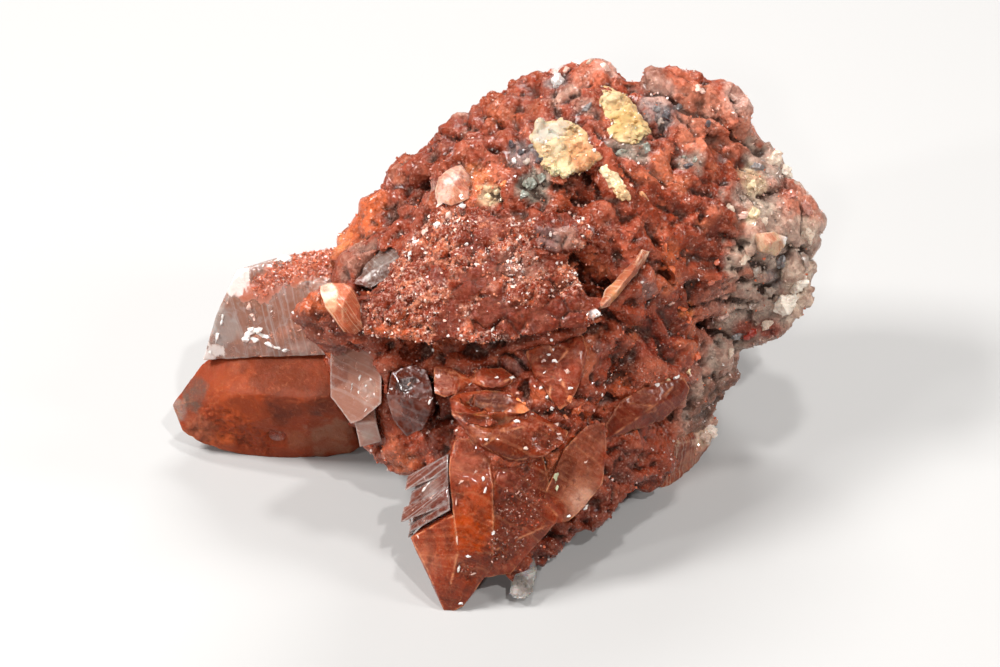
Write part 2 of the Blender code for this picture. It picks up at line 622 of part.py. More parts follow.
def valley_floor():
    """The floor of the valley between the back ridge and the druse blade."""
    return [
        seen(-17.0, 33.0, -8.0), seen(-12.8, 32.0, -3.2), seen(-9.0, 37.6, -4.0), seen(-8.0, 41.0, -6.2),
        seen(-10.0, 40.4, -9.0), seen(-15.0, 35.4, -11.0), seen(-14.0, 33.0, -16.0),
        seen(-8.0, 38.0, -16.0), seen(-12.0, 30.0, -12.0),
    ]


def heart():
    """The rock behind the druse blade, which carries it."""
    return [
        seen(-12.4, 29.6, -1.0), seen(8.6, 29.8, 1.4), seen(6.0, 37.0, -0.4), seen(-4.6, 39.6, -3.0),
        seen(-9.4, 36.2, -2.2), seen(-10.0, 30.0, -16.0), seen(8.0, 30.0, -16.0),
        seen(0.0, 40.0, -16.0), seen(-14.0, 31.0, -10.0),
    ]


def ragged_shelf():
    """The rough shelf under the pale crystal."""
    return [
        seen(-20.9, 29.2, -0.8), seen(-20.2, 30.0, -0.6), seen(-18.3, 30.8, -0.2),
        seen(-17.6, 26.4, -1.4), seen(-14.6, 26.4, 0.0), seen(-12.6, 28.6, 1.0), seen(-16.4, 29.4, 0.8),
        seen(-13.6, 27.0, -6.0), seen(-18.0, 29.0, -5.0), seen(-13.0, 31.0, -5.0),
    ]


def lower_right_foot():
    return [
        seen(10.4, 17.6, -4.4), seen(10.6, 11.6, -5.0), seen(12.1, 12.4, -7.0), seen(13.8, 12.7, -10.0),
        level(15.8, 12.5, 0.1), seen(17.0, 16.2, -10.0), seen(14.0, 18.6, -6.4),
        spot(9.0, 18.0, 6.0), spot(15.0, 30.0, 0.5), spot(8.0, 28.0, 6.0),
    ]


def red_slab():
    """The smooth slab with a flat end in the middle of the right face."""
    return [
        seen(12.4, 29.6, -2.6), seen(12.6, 26.2, -3.0), seen(16.8, 25.6, -6.0), seen(18.7, 27.4, -7.4),
        seen(18.3, 30.0, -7.0), seen(15.0, 30.4, -4.2), seen(14.0, 28.0, -10.0), seen(18.0, 27.0, -13.0),
    ]


def sparkling_band():
    """The ledge under the slab."""
    return [
        seen(11.2, 21.8, -2.8), seen(11.8, 24.2, -2.6), seen(16.8, 25.2, -6.0), seen(19.9, 25.8, -8.4),
        seen(19.6, 23.6, -8.8), seen(15.0, 22.2, -6.2), seen(13.0, 23.0, -10.0), seen(18.0, 24.0, -14.0),
    ]


def orange_rib():
    """The rib that runs down the right face from the crest."""
    return [
        seen(15.2, 39.2, -0.8), seen(16.8, 38.8, -1.0), seen(17.6, 34.6, -3.0), seen(18.6, 30.4, -5.6),
        seen(17.0, 31.0, -4.8), seen(15.4, 35.6, -2.0), seen(15.4, 36.0, -8.0), seen(18.0, 32.0, -12.0),
    ]


def upper_bed():
    """The bed between the rib and the crest's cream point."""
    return [
        seen(17.8, 37.8, -3.0), seen(24.4, 35.8, -6.4), seen(24.6, 33.2, -8.2), seen(21.0, 32.2, -7.4),
        seen(18.2, 34.8, -4.0), seen(20.0, 34.0, -13.0), seen(23.0, 36.0, -13.0),
    ]


def groove_wall():
    """The rough mass between the druse blade and the ridge blade."""
    return [
        seen(9.4, 40.6, 1.0), seen(14.6, 41.6, -0.2), seen(15.0, 37.0, -1.2), seen(12.0, 36.0, 0.6),
        seen(9.6, 37.6, 1.4), seen(10.0, 38.0, -8.0), seen(14.0, 38.0, -8.0),
    ]


VISIBLE_BLOCKS = [
    red_slab, sparkling_band, orange_rib, upper_bed, groove_wall, back_left_ridge, top_left,
    top_middle_knob, top_right_knob, right_shoulder, right_end, lower_right_slope, crest,
    granular_shoulder, right_face_top, right_face_low, recess_wall, spear_backing, left_neck,
    valley_floor, heart, ragged_shelf, lower_right_foot,
]

# Lumps inside and behind, as x, y, z and half widths.
INNER_LUMPS = [
    ((7.0, 31.0, 21.0), (15.0, 10.0, 12.0)),
    ((8.0, 27.0, 12.0), (10.0, 9.0, 8.0)),
    ((18.0, 33.0, 25.0), (9.0, 8.0, 9.0)),
    ((-4.0, 31.0, 17.0), (10.0, 8.0, 9.0)),
    ((6.0, 41.0, 5.0), (8.0, 6.0, 6.5)),
    ((-8.0, 36.0, 10.0), (8.0, 6.5, 8.0)),
    ((16.0, 37.0, 11.0), (8.5, 6.5, 8.0)),
    ((4.0, 41.0, 18.0), (12.0, 7.0, 10.0)),
    ((-12.5, 35.0, 16.0), (6.0, 5.0, 6.0)),
    ((21.0, 40.0, 23.0), (8.5, 7.0, 8.5)),
    ((24.0, 36.0, 24.0), (6.0, 6.0, 6.0)),
    ((22.0, 32.5, 15.5), (5.0, 5.0, 5.5)),
    ((6.0, 42.0, 29.0), (9.0, 5.0, 7.0)),
    ((4.0, 24.0, 8.0), (7.0, 8.0, 5.0)),
]

# Hollows pressed into the matrix: where, how wide, how deep.
HOLLOWS = [
    ((-10.2, 39.4, -9.0), 2.2, 2.0),
    ((-8.0, 41.2, -8.6), 1.8, 1.6),
    ((8.2, 35.4, 1.0), 1.8, 2.4),
    ((10.2, 37.4, 0.0), 1.6, 1.8),
    ((13.8, 51.4, -8.0), 1.6, 1.8),
    ((12.2, 45.6, -2.4), 1.4, 1.0),
    ((10.9, 24.2, -2.0), 1.5, 2.0),
    ((13.0, 26.6, -4.0), 1.4, 1.4),
    ((-8.0, 26.4, 0.2), 2.4, 2.0),
    ((0.0, 26.0, 1.2), 2.2, 1.8),
    ((16.2, 39.2, -2.8), 1.6, 1.6),
    ((20.4, 42.6, -5.6), 1.8, 1.2),
    ((26.6, 32.4, -11.0), 2.0, 1.2),
    ((14.4, 16.6, -8.0), 1.4, 1.4),
]

# Rubble: angular knobs scattered over the matrix.
KNOBS = 240
KNOB_SIZE = (1.0, 2.8)

# The slanting beds that the rock is broken along, and the chips in its skin.
BED_NORMAL = Vector((0.35, -0.45, 0.82))
BED_THICKNESS = 2.6
BED_RELIEF = 0.4
CHIP_SIZE = 2.0
CHIP_RELIEF = 0.3

# Turn between a chunk's corners that spreads them evenly.
GOLDEN_TURN = pi * (3.0 - 5.0 ** 0.5)


def chunk(cluster, middle, halves, axes, rng, corners=16):
    """Adds one angular lump to the cluster, its half widths along the three axes."""
    points = []
    for i in range(corners):
        height = 1.0 - 2.0 * (i + 0.5) / corners
        turn = i * GOLDEN_TURN + rng.uniform(-0.4, 0.4)
        ring = (1.0 - height * height) ** 0.5
        reach = rng.uniform(0.86, 1.16)
        out = Vector((ring * cos(turn) * halves[0], ring * sin(turn) * halves[1], height * halves[2]))
        points.append(middle + axes @ out * reach)
    add_hull(cluster, points)


def crag(position):
    """How far the rock stands out at a place, in millimetres: steps along slanting beds and chips."""
    along = position.dot(BED_NORMAL) + 0.9 * noise.noise(position * 0.16)
    step = abs((along / BED_THICKNESS) % 1.0 - 0.5) * 2.0
    chips = noise.cell(position / CHIP_SIZE)
    return BED_RELIEF * (step - 0.5) + CHIP_RELIEF * (chips - 0.5)


def skinned(obj):
    """Joins the blocks of an object into one closed skin."""
    skin = obj.modifiers.new("skin", "REMESH")
    skin.mode = "VOXEL"
    skin.voxel_size = MATRIX_VOXEL * MM
    bake(obj)


def press_hollows(rock):
    """Moves the skin in where the hollows are, and roughens it into beds and chips."""
    eye = seen(0.0, VIEW_MIDDLE_UP, EYE_DISTANCE)
    hollows = [(seen(*where), width, depth) for where, width, depth in HOLLOWS]
    shell = bmesh.new()
    shell.from_mesh(rock.data)
    shell.normal_update()
    for vert in shell.verts:
        here = vert.co / MM
        move = vert.normal * crag(here)
        for middle, width, depth in hollows:
            away = (here - middle).length / (1.6 * width)
            if away < 1.0:
                inward = (here - eye).normalized()
                move += inward * depth * (cos(pi * away) + 1.0) / 2.0
        vert.co = (here + move) * MM
    shell.to_mesh(rock.data)
    shell.free()


def strew_knobs(rock, rng):
    """Sets angular knobs half way into the skin all over."""
    cluster = bmesh.new()
    cluster.from_mesh(rock.data)
    cluster.faces.ensure_lookup_table()
    spots = []
    for _ in range(KNOBS):
        face = cluster.faces[rng.randrange(len(cluster.faces))]
        spots.append((face.calc_center_median() / MM, face.normal.copy()))
    for middle, normal in spots:
        across = normal.orthogonal().normalized()
        turn = Matrix.Rotation(rng.uniform(0, 2 * pi), 3, normal)
        across = turn @ across
        axes = Matrix((across, normal.cross(across), normal)).transposed()
        size = rng.uniform(*KNOB_SIZE)
        halves = (size * rng.uniform(1.0, 1.7), size * rng.uniform(0.6, 1.0), size * 0.55)
        chunk(cluster, middle - normal * size * 0.05, halves, axes, rng, corners=10)
    cluster.to_mesh(rock.data)
    cluster.free()


def matrix_body(collection):
    """The red clay rock that carries the crystals."""
    rng = random.Random(7)
    cluster = bmesh.new()
    for block in VISIBLE_BLOCKS:
        corners = block()
        middle = sum(corners, Vector()) / len(corners)
        add_hull(cluster, [c + (c - middle).normalized() * ROUNDING for c in corners])
    for place, halves in INNER_LUMPS:
        chunk(cluster, spot(*place), halves, Matrix.Identity(3), rng)
    bmesh.ops.recalc_face_normals(cluster, faces=cluster.faces)
    data = bpy.data.meshes.new("matrix")
    cluster.to_mesh(data)
    cluster.free()
    rock = new_object("matrix", data, collection)
    skinned(rock)
    strew_knobs(rock, rng)
    skinned(rock)
    press_hollows(rock)
    skinned(rock)
    fewer = rock.modifiers.new("fewer", "DECIMATE")
    fewer.ratio = MATRIX_TRIANGLES / (2 * len(rock.data.polygons))
    bake(rock)
    return rock


# Crystals in the order in which they keep their shape: each one is cut back from those before it.
CRYSTALS = [
    ("front_crystals", RED_GYPSUM, lambda: [*spear(), bowl_lens(), upper_lens(), right_blade(),
                                            wedge_over_lens(), orange_wedge()]),
    ("druse_blade", DRUSE, druse_blade),
    ("upright_lens", RED_GYPSUM, lambda: [upright_lens()]),
    ("lower_left_crystal", RED_GYPSUM, lambda: [lower_left_crystal()]),
    ("upper_left_crystal", CLEAR_GYPSUM, lambda: [upper_left_crystal()]),
    ("clear_wedge", CLEAR_GYPSUM, clear_wedge),
    ("smoky_crystal", CLEAR_GYPSUM, lambda: [smoky_crystal()]),
    ("striated_plates", CLEAR_GYPSUM, striated_plates),
    ("pale_crystal", PALE_GYPSUM, lambda: [pale_crystal()]),
    ("blush_crystal", PALE_GYPSUM, lambda: [blush_crystal()]),
    ("valley_crystal", CLEAR_GYPSUM, lambda: [valley_crystal()]),
    ("ridge_blade", PALE_GYPSUM, lambda: [ridge_blade()]),
    ("lower_right_slab", RED_GYPSUM, lambda: [lower_right_slab()]),
    ("lower_right_crystal", PALE_GYPSUM, lambda: [lower_right_crystal()]),
    ("crest_tip", PALE_GYPSUM, lambda: [crest_tip()]),
    ("left_crust", YELLOW_CRUST, left_crust),
    ("right_crust", YELLOW_CRUST, right_crust),
    ("white_flake", WHITE_GYPSUM, lambda: [white_flake()]),
]


def centre_on_base(pieces):
    """Moves everything so that the origin is under the middle of the piece, on the table."""
    points = [v.co for obj in pieces.objects for v in obj.data.vertices]
    low = Vector([min(p[i] for p in points) for i in range(3)])
    high = Vector([max(p[i] for p in points) for i in range(3)])
    shift = Vector((-(low.x + high.x) / 2, -(low.y + high.y) / 2, -low.z))
    for obj in pieces.objects:
        obj.data.transform(Matrix.Translation(shift))
    return shift


def main():
    pieces, cutters = empty_scene()
    table_top = floor_slab(cutters)
    sockets = []
    for name, look, blocks in CRYSTALS:
        crystal = fused(name, blocks(), pieces)
        for socket in sockets:
            boolean(crystal, socket, "DIFFERENCE")
        boolean(crystal, table_top, "DIFFERENCE")
        keep_largest(crystal)
        crystal.data.materials.clear()
        crystal.data.materials.append(material(*look))
        roomy_blocks = [with_room(block, GAP) for block in blocks()]
        sockets.append(fused(name + "_socket", roomy_blocks, cutters))
    rock = matrix_body(pieces)
    for socket in sockets:
        boolean(rock, socket, "DIFFERENCE")
    boolean(rock, table_top, "DIFFERENCE")
    keep_largest(rock)
    rock.data.materials.clear()
    rock.data.materials.append(material(*RED_CLAY))
    for cutter in list(cutters.objects):
        bpy.data.objects.remove(cutter)
    return centre_on_base(pieces)


SHIFT = main()
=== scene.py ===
import itertools
import math
import random
from functools import partial

import bmesh
import bpy
import numpy as np
from mathutils import Matrix, Vector
from mathutils.bvhtree import BVHTree
from mathutils.kdtree import KDTree


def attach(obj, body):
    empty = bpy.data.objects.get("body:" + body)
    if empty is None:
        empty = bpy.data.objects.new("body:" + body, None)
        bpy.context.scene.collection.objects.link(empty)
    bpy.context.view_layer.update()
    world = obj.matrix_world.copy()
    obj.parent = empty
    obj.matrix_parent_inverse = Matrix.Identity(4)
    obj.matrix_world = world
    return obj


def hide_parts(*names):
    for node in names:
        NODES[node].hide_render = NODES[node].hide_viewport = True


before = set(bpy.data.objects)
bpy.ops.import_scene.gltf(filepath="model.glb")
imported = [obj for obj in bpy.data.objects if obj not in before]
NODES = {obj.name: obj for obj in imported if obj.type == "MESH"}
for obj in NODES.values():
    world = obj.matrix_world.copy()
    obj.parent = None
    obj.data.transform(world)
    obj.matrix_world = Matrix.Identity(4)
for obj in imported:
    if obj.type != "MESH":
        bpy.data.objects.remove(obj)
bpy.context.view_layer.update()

# Lengths are in millimetres except where a comment says metres. Points closer than MERGE metres are one.
MM = 0.001
MERGE = 1e-6

# The camera's view in points, its lens and sensor, and where it stands and looks, in metres
VIEW_WIDTH = 1000
VIEW_HEIGHT = 667
LENS = 110
SENSOR = 36
EYE = Vector((0.00057, -0.24766, 0.21009))
AIM = Vector((0.00057, -0.00685, 0.02195))
AIM_TURN = (AIM - EYE).to_track_quat("-Z", "Y")

# Where a ray of the view misses, the nearest surface is looked for along it, in metres from the camera
SEARCH_START = 0.25
SEARCH_STEP = 0.005
SEARCH_STEPS = 24

# The length of the faces on each kind of surface
ROCK_VOXEL = 0.355
BLADE_VOXEL = 0.22
CRUST_VOXEL = 0.14
FACET = 0.42
SMALL_FACET = 0.23
BIT_FACET = 0.28

# Angles: what counts as flat and as a sharp edge, and where smooth shading stops on clean and on broken faces
FLAT = math.radians(3)
SHARP = math.radians(20)
CREASE = math.radians(24)
BROKEN_CREASE = math.radians(42)

# How far the rock's skin closes seams and creases, how far apart marks lie on an edge, how the beds lie
SEAM = 0.22
CREASE_REACH = 0.9
EDGE_STEP = 0.15
BED_TURN = Matrix.Rotation(math.radians(-28), 3, "Y") @ Matrix.Rotation(math.radians(20), 3, "X")


def rgb(*screen):
    """A colour given in screen values from 0 to 255, as the linear values that shaders read."""
    return tuple(((v / 255 + 0.055) / 1.055) ** 2.4 if v > 10 else v / 255 / 12.92 for v in screen)


CLAY = rgb(136, 48, 22)
DEEP_CLAY = rgb(88, 28, 15)
# Near-black, used for painted shade in crevices, pits and holes
DARK = rgb(34, 14, 10)
ROSE = rgb(186, 98, 70)
ORANGE = rgb(190, 88, 44)
BRIGHT_ORANGE = rgb(220, 124, 72)
BLOOD = rgb(122, 38, 22)
BEIGE = rgb(204, 182, 162)
PALE_BEIGE = rgb(222, 208, 192)
GREY_BEIGE = rgb(160, 140, 126)
GREY_BROWN = rgb(140, 104, 90)
STONE_GREY = rgb(120, 114, 112)
DARK_GREY = rgb(72, 66, 68)
CREAM = rgb(214, 192, 154)
GREY_GREEN = rgb(134, 135, 122)
WHITE = rgb(226, 218, 212)
PINK_WHITE = rgb(212, 172, 156)
WARM_GLOSS = (1.0, 0.66, 0.5, 1.0)
GYPSUM_IOR = 1.52


# Random numbers and patterns in space
PRIMES = (73856093, 19349663, 83492791)
NOISE_LAYERS = 3
NOISE_SPAN = 1.4
CREST_STEEPNESS = 2.4
FAR = 1e9


def lottery(cell, seed):
    """One steady number from 0 to 1 for each whole-number cell."""
    mixed = (cell[..., 0] * PRIMES[0]) ^ (cell[..., 1] * PRIMES[1]) ^ (cell[..., 2] * PRIMES[2])
    mixed = mixed ^ (seed * 2654435 + 97)
    mixed = ((mixed ^ (mixed >> 13)) * 1274126177) & 0x7FFFFFFF
    mixed = ((mixed ^ (mixed >> 11)) * 668265263) & 0x7FFFFFFF
    return (mixed ^ (mixed >> 15)) % 65536 / 65535


def soft_noise(points, size, seed):
    """Smooth noise from -1 to 1 with features of one size."""
    scaled = points / size
    base = np.floor(scaled).astype(np.int64)
    part = scaled - base
    part = part * part * (3 - 2 * part)
    total = np.zeros(len(points))
    for corner in itertools.product((0, 1), repeat=3):
        corner = np.array(corner)
        share = np.prod(np.where(corner == 1, part, 1 - part), axis=1)
        total += share * lottery(base + corner, seed)
    return total * 2 - 1


def rough_noise(points, size, seed):
    """Soft noise with finer and finer layers, about -1 to 1."""
    total = sum(soft_noise(points, size / 2**i, seed + i) / 2**i for i in range(NOISE_LAYERS))
    return total / NOISE_SPAN


def crests(points, size, seed):
    """Noise folded into a net of narrow crests: 1 on a crest, 0 away from it."""
    return 1 - np.clip(np.abs(rough_noise(points, size, seed)) * CREST_STEEPNESS, 0, 1)


def ramp(values, low, high):
    """0 below low, 1 above high, smooth between."""
    part = np.clip((values - low) / (high - low), 0, 1)
    return part * part * (3 - 2 * part)


def slabs(points, size, slope, step, seed, groove=1.0):
    """Heights about 0 of a surface that is broken into tilted blocks of one size, with grooves between."""
    scaled = points / size
    base = np.floor(scaled).astype(np.int64)
    best = np.full(len(points), FAR)
    second = best.copy()
    offset = np.zeros_like(scaled)
    found = base.copy()
    for shift in itertools.product((-1, 0, 1), repeat=3):
        cell = base + np.array(shift)
        middle = cell + np.stack([lottery(cell, seed + 31 * i) for i in range(3)], axis=1)
        away = scaled - middle
        gap = (away**2).sum(1)
        nearer = gap < best
        second = np.where(nearer, best, np.minimum(second, gap))
        best = np.where(nearer, gap, best)
        offset[nearer] = away[nearer]
        found[nearer] = cell[nearer]
    tilt = np.stack([lottery(found, seed + 7 + i) for i in range(3)], axis=1) * 2 - 1
    height = (offset * tilt).sum(1) * size * slope + lottery(found, seed + 17) * step + 0.3 * size * slope
    kept = 1 - groove * (1 - ramp(np.sqrt(second) - np.sqrt(best), 0, 0.3))
    return height * kept - 0.4 * step - 0.2 * size * slope


def ledges(points, size, levels, seed):
    """Heights from 0 to 1 of a surface that steps up and down in flat ledges with steep fronts."""
    height = (rough_noise(points, size, seed) * 0.5 + 0.5) * levels
    floor = np.floor(height)
    return (floor + ramp(height - floor, 0.55, 1.0)) / levels


def beds(points, facing, spacing, seed):
    """Heights about 0 of beds that overlap like shingles: each rises slowly and then drops."""
    along = points @ np.array(facing) / spacing + rough_noise(points, 4.5, seed) * 0.8
    part = along - np.floor(along)
    rise = ramp(part, 0, 0.9) - ramp(part, 0.88, 1.0)
    return (rise - 0.45) * ramp(soft_noise(points, 5.0, seed + 3), -0.7, 0.3)


# Meshes
CUT_ROUNDS = 8


def merged(node):
    """A solid's faces with their corners joined."""
    form = bmesh.new()
    form.from_mesh(NODES[node].data)
    bmesh.ops.remove_doubles(form, verts=form.verts, dist=MERGE)
    return form


def as_mesh(form, name="form"):
    mesh = bpy.data.meshes.new(name)
    form.to_mesh(mesh)
    form.free()
    return mesh


def with_modifier(mesh, kind, **settings):
    """A new mesh that is the given one after one modifier."""
    holder = bpy.data.objects.new("holder", mesh)
    bpy.context.scene.collection.objects.link(holder)
    tool = holder.modifiers.new(kind, kind)
    for key, value in settings.items():
        setattr(tool, key, value)
    graph = bpy.context.evaluated_depsgraph_get()
    done = bpy.data.meshes.new_from_object(holder.evaluated_get(graph))
    bpy.data.objects.remove(holder)
    bpy.data.meshes.remove(mesh)
    return done


def places(mesh):
    """Where the mesh's points are."""
    values = np.empty(len(mesh.vertices) * 3, np.float32)
    mesh.vertices.foreach_get("co", values)
    return values.reshape(-1, 3).astype(float) / MM


def directions(mesh):
    """Which way the mesh faces at its points."""
    values = np.empty(len(mesh.vertices) * 3, np.float32)
    mesh.vertex_normals.foreach_get("vector", values)
    return values.reshape(-1, 3).astype(float)


def set_places(mesh, points):
    """Moves the mesh's points, none of them below the ground."""
    points = points.copy()
    points[:, 2] = np.maximum(points[:, 2], 0)
    mesh.vertices.foreach_set("co", (points * MM).astype(np.float32).ravel())
    mesh.update()


def remeshed(mesh, voxel):
    return with_modifier(mesh, "REMESH", mode="VOXEL", voxel_size=voxel * MM)


def even_skin(node, voxel):
    """A copy of a solid with small faces of one size and softened edges."""
    return remeshed(as_mesh(merged(node)), voxel)


def swollen(mesh, distance, voxel):
    """The mesh moved out, or in where the distance is negative, with even faces again."""
    out = directions(mesh)
    mesh.vertices.foreach_set("co", ((places(mesh) + out * distance) * MM).astype(np.float32).ravel())
    mesh.update()
    return remeshed(mesh, voxel)


def cut_small(form, length):
    """Cuts the faces into triangles whose edges are hardly longer than the given length."""
    for _ in range(CUT_ROUNDS):
        long = [edge for edge in form.edges if edge.calc_length() > length * MM]
        if not long:
            return
        bmesh.ops.subdivide_edges(form, edges=long, cuts=1)
        opened = [face for face in form.faces if len(face.verts) > 3]
        bmesh.ops.triangulate(form, faces=opened, quad_method="SHORT_EDGE", ngon_method="EAR_CLIP")


def fine_facets(node, length):
    """A copy of a solid with small triangles that keeps its flat faces and sharp edges."""
    form = merged(node)
    cut_small(form, length)
    return as_mesh(form)


# Points of the view
def sight(across, down):
    """The direction of the camera's ray through a point of the view."""
    x = (across - VIEW_WIDTH / 2) / VIEW_WIDTH * SENSOR / LENS
    y = (VIEW_HEIGHT / 2 - down) / VIEW_WIDTH * SENSOR / LENS
    return (AIM_TURN @ Vector((x, y, -1))).normalized()


def tree_of(*meshes):
    form = bmesh.new()
    for mesh in meshes:
        form.from_mesh(mesh)
    tree = BVHTree.FromBMesh(form)
    form.free()
    return tree


def solid_tree(*nodes):
    return tree_of(*(NODES[node].data for node in nodes))


WHOLE = solid_tree(*NODES)


def touch(across, down, tree=WHOLE):
    """Where the ray through a point of the view meets or passes a surface, and how the surface faces."""
    hit, normal, _, _ = tree.ray_cast(EYE, sight(across, down))
    if hit is None:
        along = (EYE + sight(across, down) * (SEARCH_START + SEARCH_STEP * i) for i in range(SEARCH_STEPS))
        hit, normal, _, _ = min((tree.find_nearest(spot) for spot in along), key=lambda found: found[3])
    return np.array(hit) / MM, np.array(normal)


def gaps_from(points, across, down, radius, tree):
    """How many radii each point lies from where a point of the view meets a surface."""
    middle, _ = touch(across, down, tree)
    return np.sqrt(((points - middle) ** 2).sum(1)) / radius


def near(points, spots, tree, uneven=0.0):
    """1 about the given points of the view, falling to 0 at each one's radius: (across, down, radius)."""
    share = np.zeros(len(points))
    for spot in spots:
        share = np.maximum(share, ramp(1.2 - gaps_from(points, *spot, tree) + uneven, 0.1, 0.5))
    return share


# Skins, painted values and pieces
def grown_together(nodes, lumps, voxel, reach):
    """One skin over several solids and round lumps, with the creases between them filled."""
    form = bmesh.new()
    for across, down, radius in lumps:
        middle = Matrix.Translation(Vector(touch(across, down)[0]) * MM)
        bmesh.ops.create_icosphere(form, subdivisions=2, radius=radius * MM, matrix=middle)
    for node in nodes:
        form.from_mesh(NODES[node].data)
    bmesh.ops.remove_doubles(form, verts=form.verts, dist=MERGE)
    form.normal_update()
    for vert in form.verts:
        vert.co += vert.normal * SEAM * MM
    skin = swollen(remeshed(as_mesh(form), voxel), reach, voxel)
    return swollen(skin, -reach - SEAM, voxel)


def paint(mesh, name, values):
    """Stores a number or a colour for each point of a mesh."""
    if values.ndim == 1:
        layer = mesh.attributes.new(name, "FLOAT", "POINT")
        layer.data.foreach_set("value", values.astype(np.float32))
    else:
        full = np.ones((len(values), 4), np.float32)
        full[:, :3] = values
        layer = mesh.attributes.new(name, "FLOAT_COLOR", "POINT")
        layer.data.foreach_set("color", full.ravel())


def show(name, mesh, material, slot, *stands_for, crease=0.0):
    """Makes a mesh a piece of the specimen, with sharp edges where faces meet at more than the crease."""
    piece = bpy.data.objects.new(name, mesh)
    bpy.context.scene.collection.objects.link(piece)
    mesh.name = name
    mesh.materials.clear()
    mesh.materials.append(material)
    mesh.polygons.foreach_set("use_smooth", [crease > 0] * len(mesh.polygons))
    mesh.polygons.foreach_set("material_index", [0] * len(mesh.polygons))
    if crease:
        mesh.set_sharp_from_angle(angle=crease)
    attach(piece, "root")
    if stands_for:
        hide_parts(*stands_for)
    return piece


def show_form(node, mesh, material, crease=CREASE):
    """Shows a mesh in the place of its solid."""
    return show(node + "_form", mesh, material, node, node, crease=crease)


# Colours and values of the points. Hollows are judged over a very fine, a fine or a broad surround, and the
# shaders paint shade into them.
VERY_FINE = 4
FINE = 6
BROAD = 40


def evenly(colour, points):
    """One colour for every point."""
    return np.tile(np.array(colour), (len(points), 1))


def mix(base, other, share):
    """The base colours with a share of another colour at each point."""
    return base + (np.asarray(other) - base) * share[:, None]


def stain(colours, points, patches, tree, seed):
    """Lays patches of colour over the points: (across, down, radius, colour, strength)."""
    wander = rough_noise(points, 1.1, seed) * 0.45 + rough_noise(points, 3.0, seed + 5) * 0.25
    for across, down, radius, colour, strength in patches:
        colours = mix(colours, colour, near(points, [(across, down, radius)], tree, wander) * strength)
    return colours


def smoothed(mesh, points, rounds, share=1.0):
    """The points after each has moved towards the middle of its neighbours a few times."""
    pairs = np.empty(len(mesh.edges) * 2, np.int32)
    mesh.edges.foreach_get("vertices", pairs)
    first, second = pairs[0::2], pairs[1::2]
    count = np.bincount(first, minlength=len(points)) + np.bincount(second, minlength=len(points))
    moved = points.copy()
    for _ in range(rounds):
        total = np.zeros_like(points)
        for axis in range(3):
            total[:, axis] = np.bincount(first, moved[second, axis], len(points))
            total[:, axis] += np.bincount(second, moved[first, axis], len(points))
        middle = total / np.maximum(count, 1)[:, None]
        moved += (middle - moved) * np.reshape(share, (-1, 1))
    return moved


def hollowness(mesh, points, rounds):
    """How far each point lies below its neighbours: above 0 in a crevice, below 0 on a ridge."""
    return ((smoothed(mesh, points, rounds) - points) * directions(mesh)).sum(1)


def edge_nearness(node, points, reach):
    """1 on a solid's sharp edges, falling to 0 at the given reach from them."""
    form = merged(node)
    bmesh.ops.dissolve_limit(form, angle_limit=FLAT, verts=form.verts, edges=form.edges)
    marks = []
    for edge in form.edges:
        if len(edge.link_faces) == 2 and edge.calc_face_angle(0) > SHARP:
            a, b = (np.array(v.co) / MM for v in edge.verts)
            steps = max(2, int(np.linalg.norm(b - a) / EDGE_STEP))
            marks += [a + (b - a) * i / steps for i in range(steps + 1)]
    form.free()
    tree = KDTree(len(marks))
    for i, mark in enumerate(marks):
        tree.insert(mark, i)
    tree.balance()
    gaps = np.array([tree.find(p)[2] for p in points])
    return np.clip(1 - gaps / reach, 0, 1)


def gap_to(tree, points, reach):
    """How far each point is from a tree's surface, up to a reach."""
    gaps = []
    for point in points:
        found = tree.find_nearest(Vector(point) * MM, reach * MM)
        gaps.append(reach if found[3] is None else found[3] / MM)
    return np.array(gaps)


# Shader parts
def put(tree, kind, sockets=None, **settings):
    """A shader node with its settings, and with its sockets linked or set."""
    made = tree.nodes.new(kind)
    for key, value in settings.items():
        setattr(made, key, value)
    for key, value in (sockets or {}).items():
        if isinstance(value, bpy.types.NodeSocket):
            tree.links.new(value, made.inputs[key])
        else:
            made.inputs[key].default_value = value
    return made


def math_node(tree, operation, *values):
    return put(tree, "ShaderNodeMath", dict(enumerate(values)), operation=operation).outputs[0]


def times(tree, value, factor):
    return math_node(tree, "MULTIPLY", value, factor)


def vector_node(tree, operation, sockets):
    return put(tree, "ShaderNodeVectorMath", sockets, operation=operation).outputs


def blend_colour(tree, share, first, second, mode="MIX"):
    def full(colour):
        return colour if isinstance(colour, bpy.types.NodeSocket) else (*colour[:3], 1)

    sockets = {0: share, 6: full(first), 7: full(second)}
    return put(tree, "ShaderNodeMix", sockets, data_type="RGBA", blend_type=mode).outputs[2]


def reach_of(tree, value, low, high, to_low=0.0, to_high=1.0):
    sockets = {"Value": value, "From Min": low, "From Max": high, "To Min": to_low, "To Max": to_high}
    return put(tree, "ShaderNodeMapRange", sockets).outputs[0]


def new_group(name, inputs, outputs):
    tree = bpy.data.node_groups.new(name, "ShaderNodeTree")
    for label, kind, value in inputs:
        tree.interface.new_socket(name=label, in_out="INPUT", socket_type=kind).default_value = value
    for label, kind in outputs:
        tree.interface.new_socket(name=label, in_out="OUTPUT", socket_type=kind)
    return tree, tree.nodes.new("NodeGroupInput").outputs, tree.nodes.new("NodeGroupOutput").inputs


def object_mm(tree, size):
    """Object coordinates divided by a size in millimetres."""
    place = put(tree, "ShaderNodeTexCoord").outputs["Object"]
    scale = math_node(tree, "DIVIDE", 1 / MM, size)
    return vector_node(tree, "SCALE", {0: place, "Scale": scale})[0]


